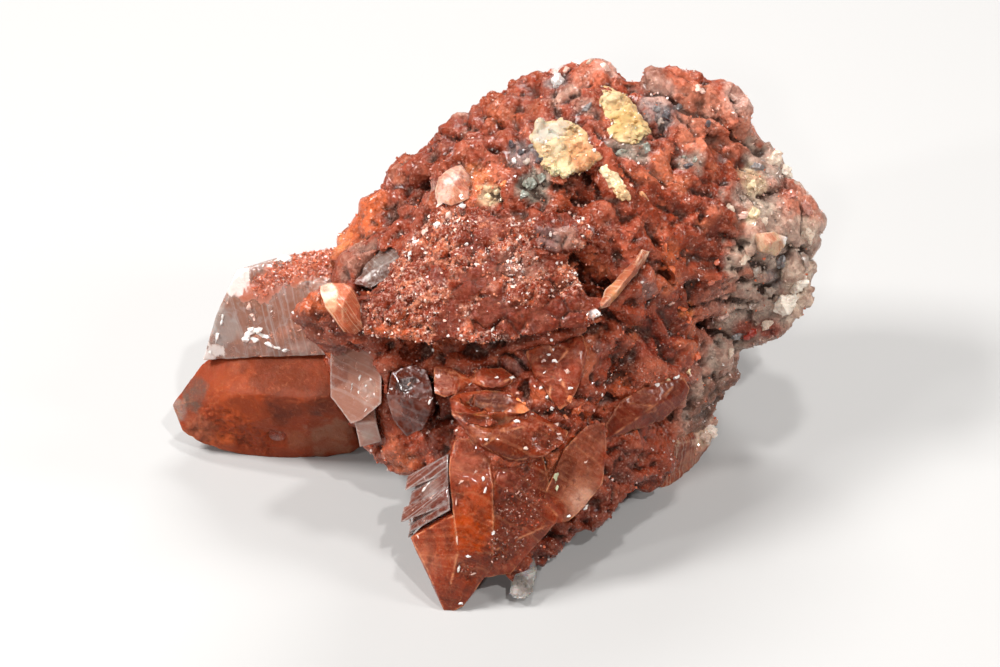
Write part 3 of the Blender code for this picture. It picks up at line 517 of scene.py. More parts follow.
def make_cloud_group():
    """Soft patches: 1 in a patch, 0 away from it."""
    tree, given, result = new_group(
        "cloud",
        [("Size", "NodeSocketFloat", 3), ("Detail", "NodeSocketFloat", 4), ("Low", "NodeSocketFloat", 0.4),
         ("High", "NodeSocketFloat", 0.6), ("Twist", "NodeSocketFloat", 0)],
        [("Mask", "NodeSocketFloat")],
    )
    noise = put(tree, "ShaderNodeTexNoise", {
        "Vector": object_mm(tree, given["Size"]), "Scale": 1, "Detail": given["Detail"], "Roughness": 0.6,
        "Distortion": given["Twist"]})
    reach = put(tree, "ShaderNodeMapRange", {
        "Value": noise.outputs[0], "From Min": given["Low"], "From Max": given["High"]},
        interpolation_type="SMOOTHSTEP")
    tree.links.new(reach.outputs[0], result["Mask"])
    return tree


def make_facet_group():
    """Flat grains, each tilted its own way, and a random shade for each."""
    tree, given, result = new_group(
        "grain_facets",
        [("Size", "NodeSocketFloat", 0.4), ("Tilt", "NodeSocketFloat", 0.5)],
        [("Normal", "NodeSocketVector"), ("Shade", "NodeSocketFloat")],
    )
    place = object_mm(tree, given["Size"])
    cells = put(tree, "ShaderNodeTexVoronoi", {"Vector": place, "Scale": 1}, feature="F1")
    centred = vector_node(tree, "SUBTRACT", {0: cells.outputs["Color"], 1: (0.5, 0.5, 0.5)})[0]
    tilt = vector_node(tree, "SCALE", {0: centred, "Scale": given["Tilt"]})[0]
    surface = put(tree, "ShaderNodeNewGeometry").outputs["Normal"]
    leaned = vector_node(tree, "ADD", {0: surface, 1: tilt})[0]
    tree.links.new(vector_node(tree, "NORMALIZE", {0: leaned})[0], result["Normal"])
    shade = put(tree, "ShaderNodeSeparateColor", {0: cells.outputs["Color"]}).outputs[1]
    tree.links.new(shade, result["Shade"])
    return tree


def make_line_group():
    """Fine lines of growth across one direction."""
    tree, given, result = new_group(
        "growth_lines",
        [("Direction", "NodeSocketVector", (1, 0, 0)), ("Spacing", "NodeSocketFloat", 0.3),
         ("Wander", "NodeSocketFloat", 0.3)],
        [("Height", "NodeSocketFloat")],
    )
    place = object_mm(tree, given["Spacing"])
    along = vector_node(tree, "DOT_PRODUCT", {0: place, 1: given["Direction"]})["Value"]
    drift = put(tree, "ShaderNodeTexNoise", {"Vector": place, "Scale": 0.12, "Detail": 2}).outputs[0]
    moved = math_node(tree, "MULTIPLY_ADD", drift, times(tree, given["Wander"], 10), along)
    lines = put(tree, "ShaderNodeTexNoise", {"W": moved, "Scale": 1, "Detail": 3, "Roughness": 0.7},
                noise_dimensions="1D").outputs[0]
    tree.links.new(lines, result["Height"])
    return tree


CLOUD = make_cloud_group()
FACETS = make_facet_group()
LINES = make_line_group()


def use(tree, group, sockets):
    return put(tree, "ShaderNodeGroup", sockets, node_tree=group).outputs


def cloud(tree, size, low=0.4, high=0.6, detail=4, twist=0):
    look = {"Size": size, "Low": low, "High": high, "Detail": detail, "Twist": twist}
    return use(tree, CLOUD, look)["Mask"]


def clouded(tree, colour, other, strength, *look):
    """The colour with patches of another over it. The look is a cloud's size, low, high, detail and twist."""
    return blend_colour(tree, times(tree, cloud(tree, *look), strength), colour, other)


def new_material(name, glow=(1.0, 0.35, 0.2), **constants):
    """A Principled material with its constant values set on the shader's own sockets."""
    material = bpy.data.materials.new(name)
    material.use_nodes = True
    tree = material.node_tree
    shader = tree.nodes["Principled BSDF"]
    shader.inputs["Subsurface Radius"].default_value = glow
    for key, value in constants.items():
        shader.inputs[key.replace("_", " ")].default_value = value
    return material, tree, shader


def number(tree, name):
    return put(tree, "ShaderNodeAttribute", attribute_name=name).outputs["Fac"]


def tint_of(tree):
    return put(tree, "ShaderNodeAttribute", attribute_name="tint").outputs["Color"]


def bump(tree, height, distance, strength, normal=None):
    sockets = {"Height": height, "Distance": distance * MM, "Strength": strength}
    if normal is not None:
        sockets["Normal"] = normal
    return put(tree, "ShaderNodeBump", sockets).outputs[0]


def chipped_normal(tree, height, depth, lines):
    """The direction of a face with lines of growth, and with chips where it is coarse."""
    chips = use(tree, FACETS, {"Size": 0.45, "Tilt": times(tree, number(tree, "coarse"), 0.8)})
    return bump(tree, height, depth, lines, chips["Normal"])


def shaded(tree, colour, shade, low, high):
    """The colour made darker or lighter by a shade from 0 to 1."""
    level = reach_of(tree, shade, 0, 1, low, high)
    grey = put(tree, "ShaderNodeCombineColor", {0: level, 1: level, 2: level}).outputs[0]
    return blend_colour(tree, 1.0, colour, grey, "MULTIPLY")


def painted_shade_in_hollows(tree, colour, deep, strength):
    """The colour darkened towards near-black in crevices: painted shade."""
    dark = reach_of(tree, number(tree, "hollow"), 0.02, deep)
    return blend_colour(tree, times(tree, dark, strength), colour, DARK)


def finish(tree, shader, colour, rough, normal):
    """Gives a material's shader its colour, its roughness and its direction."""
    for name, socket in (("Base Color", colour), ("Roughness", rough), ("Normal", normal)):
        tree.links.new(socket, shader.inputs[name])


def rock_material():
    """Painted reds with a fine wet grain, pale specks, lighter ridges, and dark crevices that are painted
    shade.
    """
    material, tree, shader = new_material(
        "red_clay_rock", Subsurface_Weight=0.08, Subsurface_Scale=0.4 * MM, Coat_Weight=0.16,
        Coat_Roughness=0.03, Specular_IOR_Level=0.4, Specular_Tint=WARM_GLOSS)
    grains = use(tree, FACETS, {"Size": 0.42, "Tilt": 0.7})
    specks = use(tree, FACETS, {"Size": 0.17, "Tilt": 0.9})
    colour = clouded(tree, tint_of(tree), DEEP_CLAY, 0.4, 0.7, 0.4, 0.7)
    colour = shaded(tree, colour, grains["Shade"], 0.78, 1.2)
    pale = math_node(tree, "GREATER_THAN", specks["Shade"], 0.9)
    colour = blend_colour(tree, times(tree, pale, 0.22), colour, PINK_WHITE)
    ridge = reach_of(tree, number(tree, "hollow"), -0.03, -0.16)
    colour = blend_colour(tree, times(tree, ridge, 0.15), colour, ROSE)
    dry = times(tree, cloud(tree, 2.2, 0.45, 0.65), 0.22)
    rough = math_node(tree, "ADD", reach_of(tree, grains["Shade"], 0, 1, 0.06, 0.36), dry)
    lumps = bump(tree, cloud(tree, 0.6, 0.25, 0.75, 5), 0.12, 0.6, grains["Normal"])
    finish(tree, shader, painted_shade_in_hollows(tree, colour, 0.24, 0.85), rough,
           bump(tree, cloud(tree, 0.16, 0.3, 0.7, 3), 0.05, 0.6, lumps))
    return material


def druse_material():
    """Painted sugary grains that glint, with glassy red between them and painted shade in the hollows."""
    material, tree, shader = new_material(
        "sparkling_red_druse", Subsurface_Weight=0.15, Subsurface_Scale=0.5 * MM, Coat_Weight=0.12,
        Coat_Roughness=0.04, Specular_IOR_Level=0.35, Specular_Tint=WARM_GLOSS)
    sugary = math_node(tree, "SUBTRACT", 1.0, number(tree, "glassy"))
    grains = use(tree, FACETS, {"Size": 0.24, "Tilt": reach_of(tree, sugary, 0, 1, 0.2, 0.85)})
    colour = shaded(tree, tint_of(tree), grains["Shade"], 0.75, 1.25)
    colour = clouded(tree, colour, BLOOD, 0.35, 0.6, 0.5, 0.7)
    colour = clouded(tree, colour, PINK_WHITE, times(tree, sugary, 0.5), 0.35, 0.52, 0.62, 5, 0.8)
    rough = reach_of(tree, grains["Shade"], 0, 1, 0.1, 0.42)
    rough = times(tree, rough, reach_of(tree, sugary, 0, 1, 0.45, 1.0))
    pits = bump(tree, cloud(tree, 0.4, 0.25, 0.75, 4), 0.12, 0.6, grains["Normal"])
    finish(tree, shader, painted_shade_in_hollows(tree, colour, 0.13, 0.75), rough,
           bump(tree, cloud(tree, 0.14, 0.3, 0.7, 2), 0.04, 0.6, pits))
    return material


def grain_material(name, rough, glow, veins=0.3):
    """Loose grains and chips: each has its own painted colour and clean glossy faces."""
    material, tree, shader = new_material(
        name, (1.0, 0.6, 0.45), Subsurface_Weight=glow, Subsurface_Scale=0.4 * MM, Coat_Weight=0.4,
        Coat_Roughness=0.05, IOR=GYPSUM_IOR)
    finish(tree, shader, clouded(tree, tint_of(tree), CLAY, veins, 0.4, 0.5, 0.72),
           reach_of(tree, cloud(tree, 0.5), 0, 1, rough * 0.4, rough),
           bump(tree, cloud(tree, 0.22, 0.2, 0.8, 3), 0.03, 0.5))
    return material


def cloudy_material(name, deep, pale, glow_depth, direction, spacing, rough=(0.14, 0.42), through=0.15,
                    lines=0.5, wear_and_glint=0.6, coat=0.2):
    """Cloudy gypsum: painted body, deeper clouds, lines of growth, pale edges that are partly wear and partly
    painted glints, and painted shade in crevices.
    """
    material, tree, shader = new_material(
        name, (1.0, 0.34, 0.16), Subsurface_Weight=0.35, Subsurface_Scale=glow_depth * MM, Coat_Weight=coat,
        Coat_Roughness=0.04, Transmission_Weight=through, IOR=GYPSUM_IOR, Specular_IOR_Level=0.25,
        Specular_Tint=WARM_GLOSS)
    height = use(tree, LINES, {"Direction": direction, "Spacing": spacing, "Wander": 0.3})["Height"]
    colour = clouded(tree, tint_of(tree), deep, 0.6, 2.4, 0.42, 0.64, 6, 0.8)
    colour = blend_colour(tree, times(tree, reach_of(tree, height, 0.52, 0.68), 0.35 * lines), colour, pale)
    colour = clouded(tree, colour, pale, 0.2, 0.8, 0.54, 0.68, 6, 1.6)
    colour = clouded(tree, colour, deep, 0.5, 0.5, 0.56, 0.68, 5, 0.5)
    # Pale edges: partly wear, partly painted glints along the ridges
    border = times(tree, reach_of(tree, number(tree, "edge"), 0.4, 1.0), cloud(tree, 1.4, 0.42, 0.62, 5))
    colour = blend_colour(tree, times(tree, border, wear_and_glint), colour, pale)
    patchy = math_node(tree, "MAXIMUM", cloud(tree, 1.2, 0.42, 0.62, 5), number(tree, "coarse"))
    finish(tree, shader, painted_shade_in_hollows(tree, colour, 0.15, 0.7), reach_of(tree, patchy, 0, 1, *rough),
           bump(tree, cloud(tree, 0.45, 0.3, 0.8, 5), 0.07, 0.6, chipped_normal(tree, height, 0.06, lines)))
    return material


def clear_material(name, clearness, colour, density, direction, spacing, lines, veil=0.35, wear_and_glint=0.7,
                   coat=0.3):
    """Clear gypsum with milky veils: plain transmission, with a tint that deepens with thickness. Its white
    edges are partly wear and partly painted glints.
    """
    material, tree, shader = new_material(
        name, (1.0, 0.75, 0.6), Transmission_Weight=clearness, IOR=GYPSUM_IOR, Subsurface_Weight=0.4,
        Subsurface_Scale=1.0 * MM, Coat_Weight=coat, Coat_Roughness=0.03)
    height = use(tree, LINES, {"Direction": direction, "Spacing": spacing, "Wander": 0.15})["Height"]
    streak = times(tree, reach_of(tree, height, 0.53, 0.64), 0.5 * lines)
    tone = blend_colour(tree, streak, tint_of(tree), WHITE)
    tone = clouded(tree, tone, WHITE, veil, 1.1, 0.5, 0.66, 6, 1.4)
    # White edges: partly wear, partly painted glints
    border = times(tree, number(tree, "edge"), cloud(tree, 0.6, 0.3, 0.6, 3))
    tone = blend_colour(tree, times(tree, border, wear_and_glint), tone, WHITE)
    frosted = math_node(tree, "MAXIMUM", cloud(tree, 1.3, 0.5, 0.68), number(tree, "coarse"))
    finish(tree, shader, painted_shade_in_hollows(tree, tone, 0.15, 0.5), reach_of(tree, frosted, 0, 1, 0.04, 0.35),
           bump(tree, cloud(tree, 0.6, 0.3, 0.8), 0.05, 0.4, chipped_normal(tree, height, 0.07, lines)))
    soak = put(tree, "ShaderNodeVolumeAbsorption", {"Color": (*colour, 1), "Density": density})
    tree.links.new(soak.outputs[0], tree.nodes["Material Output"].inputs["Volume"])
    return material


# The rock
CLEAR = ("upper_left_crystal", "clear_wedge", "smoky_crystal", "striated_plates", "valley_crystal")
CRYSTALS = [node for node in NODES if node != "matrix"]
OPAQUE = [node for node in CRYSTALS if node not in CLEAR]

# Patches of colour are given as across, down, radius, colour and strength.
ROCK_STAIN = 70
ROCK_PATCHES = [
    # The ridge at the back left and the valley in front of it, with two near-black patches painted as shade
    # in crevices
    (352, 222, 4.0, ORANGE, 0.8), (330, 240, 3.0, BRIGHT_ORANGE, 0.8), (372, 205, 2.5, ORANGE, 0.7),
    (400, 212, 1.8, DARK, 0.8), (420, 205, 1.5, DARK, 0.6), (365, 268, 2.8, GREY_BROWN, 0.8),
    (300, 268, 2.5, ORANGE, 0.7), (318, 328, 2.5, DEEP_CLAY, 0.8),
    # The shoulder over the blade
    (446, 188, 2.2, PINK_WHITE, 0.6), (478, 185, 2.6, BRIGHT_ORANGE, 0.7), (468, 205, 2.2, ROSE, 0.7),
    (500, 172, 2.2, ROSE, 0.7), (492, 196, 1.3, CREAM, 0.7), (532, 188, 2.0, GREY_GREEN, 0.75),
    (522, 152, 2.0, STONE_GREY, 0.8), (540, 160, 1.4, DARK_GREY, 0.7),
    # The top
    (562, 62, 1.4, WHITE, 0.8), (556, 82, 1.4, STONE_GREY, 0.7), (577, 62, 1.3, WHITE, 0.8),
    (606, 68, 1.6, PINK_WHITE, 0.8), (592, 76, 2.2, ROSE, 0.6), (586, 108, 1.5, GREY_BROWN, 0.8),
    (634, 152, 1.8, GREY_GREEN, 0.75), (615, 148, 1.5, GREY_GREEN, 0.6), (664, 112, 2.8, STONE_GREY, 0.9),
    (668, 114, 1.2, DARK_GREY, 0.8), (650, 78, 2.0, GREY_BROWN, 0.8), (680, 85, 2.5, ROSE, 0.8),
    (735, 102, 2.6, PINK_WHITE, 0.8), (705, 108, 3.0, rgb(196, 124, 98), 0.7),
    (690, 135, 2.4, rgb(186, 110, 84), 0.6), (742, 130, 2.4, rgb(190, 122, 98), 0.7),
    (660, 92, 1.6, PINK_WHITE, 0.6), (690, 165, 1.6, GREY_GREEN, 0.6), (712, 120, 1.4, GREY_BROWN, 0.7),
    (720, 135, 2.6, ROSE, 0.5),
    # The right-hand end
    (755, 212, 2.4, BEIGE, 0.9), (752, 216, 1.2, CREAM, 0.8), (770, 165, 3.0, GREY_BEIGE, 0.95),
    (750, 182, 2.0, CREAM, 0.6), (738, 198, 2.0, GREY_BEIGE, 0.7), (798, 206, 2.8, ROSE, 0.7),
    (788, 190, 1.4, CLAY, 0.6), (800, 232, 2.4, BEIGE, 0.8), (738, 256, 2.6, BEIGE, 0.75),
    (772, 262, 4.4, GREY_BEIGE, 0.95), (795, 292, 4.0, BEIGE, 0.95), (760, 300, 3.8, GREY_BEIGE, 0.95),
    (768, 280, 1.4, STONE_GREY, 0.8), (732, 330, 2.8, GREY_BEIGE, 0.9), (722, 352, 2.4, GREY_BEIGE, 0.85),
    (748, 328, 1.8, BLOOD, 0.9), (765, 326, 1.8, BLOOD, 0.9), (735, 385, 3.0, rgb(98, 72, 60), 0.9),
    (705, 405, 3.4, rgb(98, 72, 60), 0.9),
    # The face on the right, with near-black patches painted as shade in a crevice and in the filled hole
    # right of the blade
    (668, 250, 1.3, ORANGE, 0.8), (663, 275, 1.0, ORANGE, 0.7), (685, 312, 1.1, BRIGHT_ORANGE, 0.7),
    (640, 205, 2.4, CLAY, 0.6), (655, 338, 3.0, BLOOD, 0.8), (640, 345, 2.0, BLOOD, 0.8),
    (622, 358, 1.6, DARK, 0.7), (655, 378, 2.4, ROSE, 0.6), (655, 460, 2.4, CLAY, 0.6),
    (622, 462, 2.2, DEEP_CLAY, 0.9), (590, 245, 1.4, DARK, 0.7),
    # Under the front: two deep red patches painted as shade under the crystals, and an orange one
    (560, 560, 3.0, DEEP_CLAY, 0.9), (590, 515, 3.4, DEEP_CLAY, 0.9), (540, 395, 1.2, ORANGE, 0.6),
]


def rock_waves(points):
    """The broad and the fine noise that the rock's colours follow."""
    return rough_noise(points, 7.0, 40), rough_noise(points, 1.6, 43)


def rock_net(points):
    return crests(points, 1.3, 37)


def pale_end(points):
    """1 at the specimen's grey and beige right-hand end, 0 away from it."""
    broad, fine = rock_waves(points)
    right = ramp(points[:, 0] + 4 * broad - 0.35 * points[:, 2], 14, 20)
    low = ramp(points[:, 0] * 0.3 - points[:, 1] * 0.2 + 3 * fine, 2, 7)
    back = ramp(points[:, 1] + 3 * fine, 13, 18) * ramp(broad + fine * 0.6, 0.1, 0.6)
    return np.clip(right * low + back, 0, 1)


def rock_colours(points):
    """The clay's reds with a net of lighter crests, and pale and grey beds towards its right-hand end. The
    lit upper left and the low front are darkened: painted shade.
    """
    broad, fine = rock_waves(points)
    base = evenly(CLAY, points)
    base = mix(base, DEEP_CLAY, ramp(broad + 0.5 * fine, 0.0, 0.6) * 0.75)
    base = mix(base, ORANGE, ramp(-broad + 0.6 * fine, 0.3, 0.9) * 0.5)
    base = mix(base, rgb(92, 27, 12), ramp(rough_noise(points, 2.8, 45), 0.1, 0.5) * 0.75)
    base = mix(base, ROSE, ramp(rock_net(points) + 0.5 * fine, 0.6, 1.1) * 0.65)
    base = mix(base, rgb(194, 104, 68), ramp(rough_noise(points, 3.4, 48) + 0.4 * fine, 0.3, 0.65) * 0.65)
    base = mix(base, STONE_GREY, ramp(rough_noise(points, 2.6, 49), 0.6, 0.8) * 0.5)
    # Painted shade: the upper left, where the light falls most, is darkened
    lit = ramp(points[:, 2] + 3 * broad, 12, 22) * (1 - ramp(points[:, 0] + 4 * broad, 4, 16))
    base = mix(base, DEEP_CLAY, lit * 0.4)
    pale = mix(evenly(GREY_BEIGE, points), BEIGE, ramp(rough_noise(points, 2.4, 47), -0.2, 0.5))
    base = base + (pale - base) * pale_end(points)[:, None] * 0.8
    # Painted shade: the low front of the rock, near the floor, is darkened
    return mix(base, DEEP_CLAY, ramp(-points[:, 2] + 2 * fine, -7, -3) * ramp(-points[:, 1], 2, 7) * 0.6)


# Where the rock has lumps, dishes and wet places: across, down, radius
CLAY_LUMPS = [(594, 238, 2.2), (604, 255, 2.4), (612, 272, 2.2), (600, 285, 1.8), (566, 196, 2.2),
              (580, 205, 1.8), (556, 188, 1.6), (600, 408, 2.0), (350, 262, 1.2), (360, 287, 1.0),
              (628, 302, 1.8), (616, 318, 1.6), (642, 282, 1.6)]
DISHES = [(488, 405, 3.2), (505, 408, 2.4), (472, 400, 1.8), (556, 362, 2.8), (560, 340, 1.8)]
WET_SPOTS = [(655, 335, 4.0), (640, 300, 3.0), (700, 250, 3.0), (355, 225, 4.0), (360, 265, 3.0)]


def make_rock():
    """Broken clay: ledges along its beds, lumps and fine grain, with the crystals' feet grown into it."""
    mesh = grown_together(["matrix"] + OPAQUE, CLAY_LUMPS, ROCK_VOXEL, CREASE_REACH)
    points, out = places(mesh), directions(mesh)
    covered = 1 - ramp(gap_to(solid_tree(*CRYSTALS), points, 1.0), 0.2, 0.55)
    off_rock = gap_to(solid_tree("matrix"), points, 1.6)
    creeping = ramp(1.0 - off_rock + rough_noise(points, 1.3, 61) * 0.9, 0, 0.5)
    dished = near(points, DISHES, WHOLE)
    wet = near(points, WET_SPOTS, WHOLE, rough_noise(points, 2.0, 63) * 0.4)
    wet = np.maximum(wet, ramp(rough_noise(points, 5.0, 3), 0.1, 0.5))
    end = pale_end(points)
    turned = points @ np.array(BED_TURN).T * np.array((0.5, 1.0, 1.6))
    side = ramp(points[:, 0] + 4 * soft_noise(points, 6.0, 15), -2, 4)
    # Beds to the right and to the left, then blocks of three sizes, then grain
    lift = beds(points, (0.45, 0.55, 0.7), 3.4, 11) * 1.1 * side * (1 - 0.6 * end)
    lift += beds(points, (-0.6, 0.4, 0.7), 3.8, 13) * 1.0 * (1 - side)
    lift += slabs(points, 3.0, 0.32, 0.3, 27, 0.0) * (1 - end)
    lift += slabs(turned, 1.3, 0.45, 0.22, 33, 0.1) * (1 - 0.6 * wet) * (1 - 0.5 * end) * (0.55 + 0.45 * side)
    lift += slabs(points, 3.4, 0.45, 0.45, 29, 0.0) * end
    lift = np.clip(lift, -1.1, 0.8) + rough_noise(points, 0.8, 51) * 0.14 * (1 - 0.7 * wet)
    # Under the crystals it lies back, but it creeps a little way up their feet
    lift = lift * (1 - covered) + covered * (creeping * (1 - dished) * 0.3 - 0.4 - 1.2 * dished)
    points = smoothed(mesh, points + out * lift[:, None], 1, 0.3 + 0.3 * wet)
    set_places(mesh, points)
    colours = stain(rock_colours(points), points, ROCK_PATCHES, solid_tree("matrix"), ROCK_STAIN)
    paint(mesh, "tint", colours)
    points = places(mesh)
    # How hollow each point is, over a fine and a broad surround; the shader paints shade by it
    paint(mesh, "hollow", hollowness(mesh, points, FINE) + 0.12 * hollowness(mesh, points, BROAD))
    return show("rock", mesh, rock_material(), "matrix", "matrix", crease=BROKEN_CREASE)


ROCK = make_rock()


# The granular blade
GLASSY_SPOTS = [(466, 285, 2.0), (492, 312, 1.8), (515, 315, 2.0), (540, 318, 2.0), (568, 318, 1.8),
                (548, 222, 1.8), (440, 275, 1.2), (560, 215, 1.4), (450, 318, 1.2)]
BLADE_PATCHES = [
    (470, 333, 1.5, ROSE, 0.7), (566, 236, 1.4, GREY_BROWN, 0.6), (545, 240, 1.4, STONE_GREY, 0.4),
    (520, 265, 2.6, GREY_BROWN, 0.4), (395, 335, 2.0, ORANGE, 0.5), (375, 345, 1.5, ORANGE, 0.6),
    # The first patch here is near-black, painted as shadow under the blade's lip
    (500, 342, 1.0, DARK, 0.7), (597, 314, 0.7, WHITE, 0.9),
]


def blade_net(points):
    return crests(points, 0.95, 131)


def blade_colours(points):
    """Glassy red with a net of pinkish sugary crests."""
    fine = rough_noise(points, 1.1, 93)
    base = evenly(rgb(116, 38, 16), points)
    base = mix(base, rgb(164, 72, 36), ramp(fine + 0.4 * rough_noise(points, 5.0, 90), -0.1, 0.6) * 0.7)
    net = ramp(blade_net(points) + 0.4 * fine, 0.5, 1.0)
    return mix(base, rgb(208, 132, 100), net * 0.7)


def glassiness(points):
    """1 where the blade is smooth and glassy, 0 where it is sugary."""
    spots = near(points, GLASSY_SPOTS, solid_tree("druse_blade"), rough_noise(points, 1.2, 141) * 0.5)
    return np.maximum(spots, ramp(rough_noise(points, 2.4, 145), 0.12, 0.4) * 0.9)


def make_blade():
    """The blade broken into slabs, with a net of sugary crests where it isn't glassy."""
    mesh = even_skin("druse_blade", BLADE_VOXEL)
    points, out = places(mesh), directions(mesh)
    tree = solid_tree("druse_blade")
    glassy = glassiness(points)
    lift = slabs(points, 2.4, 0.3, 0.35, 111) + slabs(points, 0.8, 0.5, 0.2, 121) * (1 - 0.8 * glassy)
    lift += (blade_net(points) - 0.35) * 0.22 * (1 - 0.8 * glassy)
    points = smoothed(mesh, points + out * lift[:, None], 1, 0.4)
    set_places(mesh, points)
    colours = mix(blade_colours(points), rgb(96, 30, 14), glassy * 0.9)
    paint(mesh, "glassy", glassy)
    paint(mesh, "tint", stain(colours, points, BLADE_PATCHES, tree, 95))
    paint(mesh, "hollow", hollowness(mesh, places(mesh), VERY_FINE))
    return show("granular_blade", mesh, druse_material(), "druse_blade", "druse_blade", crease=BROKEN_CREASE)


BLADE = make_blade()


# Crystals
BOWL_ROUNDS = 14


def crystal_form(node, length, base, patches, seed, wave=0.04, rough_at=(), dents=(), chipped=0.1, reach=0.3,
                 crust=0.0, seam=0.06, spread=(), rounded=False, bowls=(), relief=1.0):
    """A crystal with slightly uneven faces, chipped edges, dished faces and coarse broken places."""
    mesh = even_skin(node, length) if rounded else fine_facets(node, length)
    points, out = places(mesh), directions(mesh)
    tree = solid_tree(node)
    edge = edge_nearness(node, points, reach)
    if bowls:
        points = smoothed(mesh, points, BOWL_ROUNDS, near(points, bowls, tree))
        set_places(mesh, points)
        out = directions(mesh)
    coarse = near(points, rough_at, tree, rough_noise(points, 1.5, seed + 1) * 0.4)
    coarse = np.maximum(coarse, crust * ramp(rough_noise(points, 2.5, seed + 8), -0.4, 0.3))
    lift = rough_noise(points, 2.4, seed) * wave + seam
    broken = ledges(points, 1.8, 4, seed + 2) * 0.6 - 0.33 + rough_noise(points, 0.8, seed + 9) * 0.14
    lift += coarse * relief * broken
    lift -= edge * chipped * ramp(soft_noise(points, 0.9, seed + 3), -0.2, 0.7)
    for *spot, depth in dents:
        lift -= depth * ramp(1 - gaps_from(points, *spot, tree), 0.0, 0.6)
    points = points + out * lift[:, None]
    set_places(mesh, points)
    colours = stain(evenly(base, points), points, patches, tree, seed + 6)
    for colour, size, low, high, strength in spread:
        colours = mix(colours, colour, ramp(rough_noise(points, size, seed + 12), low, high) * strength)
    paint(mesh, "tint", colours)
    paint(mesh, "edge", edge)
    paint(mesh, "coarse", coarse)
    paint(mesh, "hollow", hollowness(mesh, places(mesh), VERY_FINE))
    return mesh


def make_front():
    """The spear with its flank, the dished lens, the lens over it and the blade on the right."""
    spear = [
        (440, 552, 2.8, rgb(144, 56, 28), 0.95), (424, 560, 2.0, rgb(170, 92, 64), 0.7),
        (446, 592, 2.2, rgb(134, 48, 22), 0.95), (457, 470, 1.2, rgb(178, 104, 76), 0.7),
        (476, 528, 2.8, rgb(172, 62, 10), 1.0), (476, 500, 1.8, rgb(160, 62, 26), 0.9),
        (470, 568, 1.6, rgb(120, 44, 24), 0.7), (465, 470, 2.0, rgb(146, 68, 46), 0.8),
        (520, 505, 3.2, rgb(112, 42, 26), 0.95), (505, 545, 2.6, rgb(106, 38, 24), 0.9),
        (515, 470, 2.5, rgb(118, 44, 28), 0.85),
    ]
    lenses = [
        (490, 404, 2.6, rgb(78, 34, 26), 0.95), (512, 405, 1.4, rgb(120, 50, 28), 0.6),
        (490, 428, 2.2, rgb(180, 84, 44), 0.85), (524, 410, 0.9, BRIGHT_ORANGE, 0.8),
        (505, 448, 2.8, rgb(104, 34, 12), 0.9), (516, 374, 1.4, rgb(168, 72, 36), 0.8),
        (470, 382, 1.6, rgb(160, 68, 34), 0.8), (470, 360, 1.6, rgb(110, 44, 26), 0.7),
        (442, 375, 2.0, rgb(116, 42, 24), 0.8),
    ]
    right_blade = [
        (575, 480, 3.4, rgb(132, 66, 44), 0.9), (590, 440, 2.2, rgb(138, 68, 46), 0.8),
        (588, 500, 3.0, rgb(186, 126, 100), 0.5), (594, 508, 1.6, rgb(210, 160, 136), 0.6),
        # A near-black patch painted as the shade in a hole in the blade
        (548, 476, 0.9, DARK, 0.8),
    ]
    mesh = crystal_form(
        "front_crystals", FACET, rgb(138, 50, 24), spear + lenses + right_blade, 200, 0.05,
        [(520, 505, 2.8), (505, 545, 2.4), (468, 572, 1.3), (515, 470, 1.8), (545, 440, 1.4),
         (462, 490, 1.2)],
        [(488, 405, 3.0, 1.0), (505, 408, 2.2, 0.6), (472, 400, 1.6, 0.5)], crust=0.2,
        spread=[(rgb(96, 34, 22), 2.2, 0.1, 0.7, 0.5)],
        bowls=[(490, 425, 3.2), (505, 450, 3.4), (470, 440, 2.4), (540, 430, 2.0), (515, 376, 1.6),
               (470, 384, 1.6)])
    material = cloudy_material("orange_red_gypsum", rgb(76, 24, 13), rgb(222, 146, 104), 0.9,
                               (0.3, 0.9, 0.3), 0.5, wear_and_glint=0.8, lines=0.4)
    return show_form("front_crystals", mesh, material)


def make_lower_left():
    """The smooth amber-red crystal with a rough, pitted foot."""
    patches = [
        (270, 372, 6.0, rgb(104, 34, 6), 0.95), (300, 385, 3.5, rgb(112, 40, 12), 0.7),
        (225, 392, 3.0, rgb(150, 62, 24), 0.7), (240, 412, 3.4, rgb(152, 60, 24), 0.9),
        (318, 402, 2.2, rgb(92, 40, 26), 0.8), (285, 408, 2.0, rgb(84, 34, 22), 0.8),
        (192, 395, 2.4, rgb(84, 70, 62), 0.9), (178, 408, 1.6, rgb(140, 122, 112), 0.8),
        (200, 430, 2.0, rgb(150, 84, 60), 0.8), (330, 436, 3.2, rgb(142, 92, 70), 0.9),
        # The last patch is near-black, painted as shade in the pit dented there
        (300, 440, 2.0, rgb(138, 76, 50), 0.7), (225, 442, 1.6, ORANGE, 0.7), (276, 438, 1.1, DARK, 0.95),
    ]
    mesh = crystal_form("lower_left_crystal", FACET, rgb(138, 52, 22), patches, 230, 0.06,
                        [(225, 425, 3.0), (255, 440, 2.5), (276, 438, 1.6), (205, 432, 2.0)],
                        [(276, 438, 1.3, 1.0)], spread=[(BLOOD, 3.0, 0.1, 0.8, 0.25)],
                        bowls=[(330, 392, 3.0), (300, 390, 3.0), (270, 390, 3.0), (240, 388, 3.0),
                               (215, 385, 2.6)])
    material = cloudy_material("amber_red_gypsum", rgb(124, 48, 24), rgb(200, 112, 70), 1.4,
                               (0.9, 0.1, 0.2), 0.7, rough=(0.5, 0.65), lines=0.1, wear_and_glint=0.2, coat=0.0)
    show_form("lower_left_crystal", mesh, material)


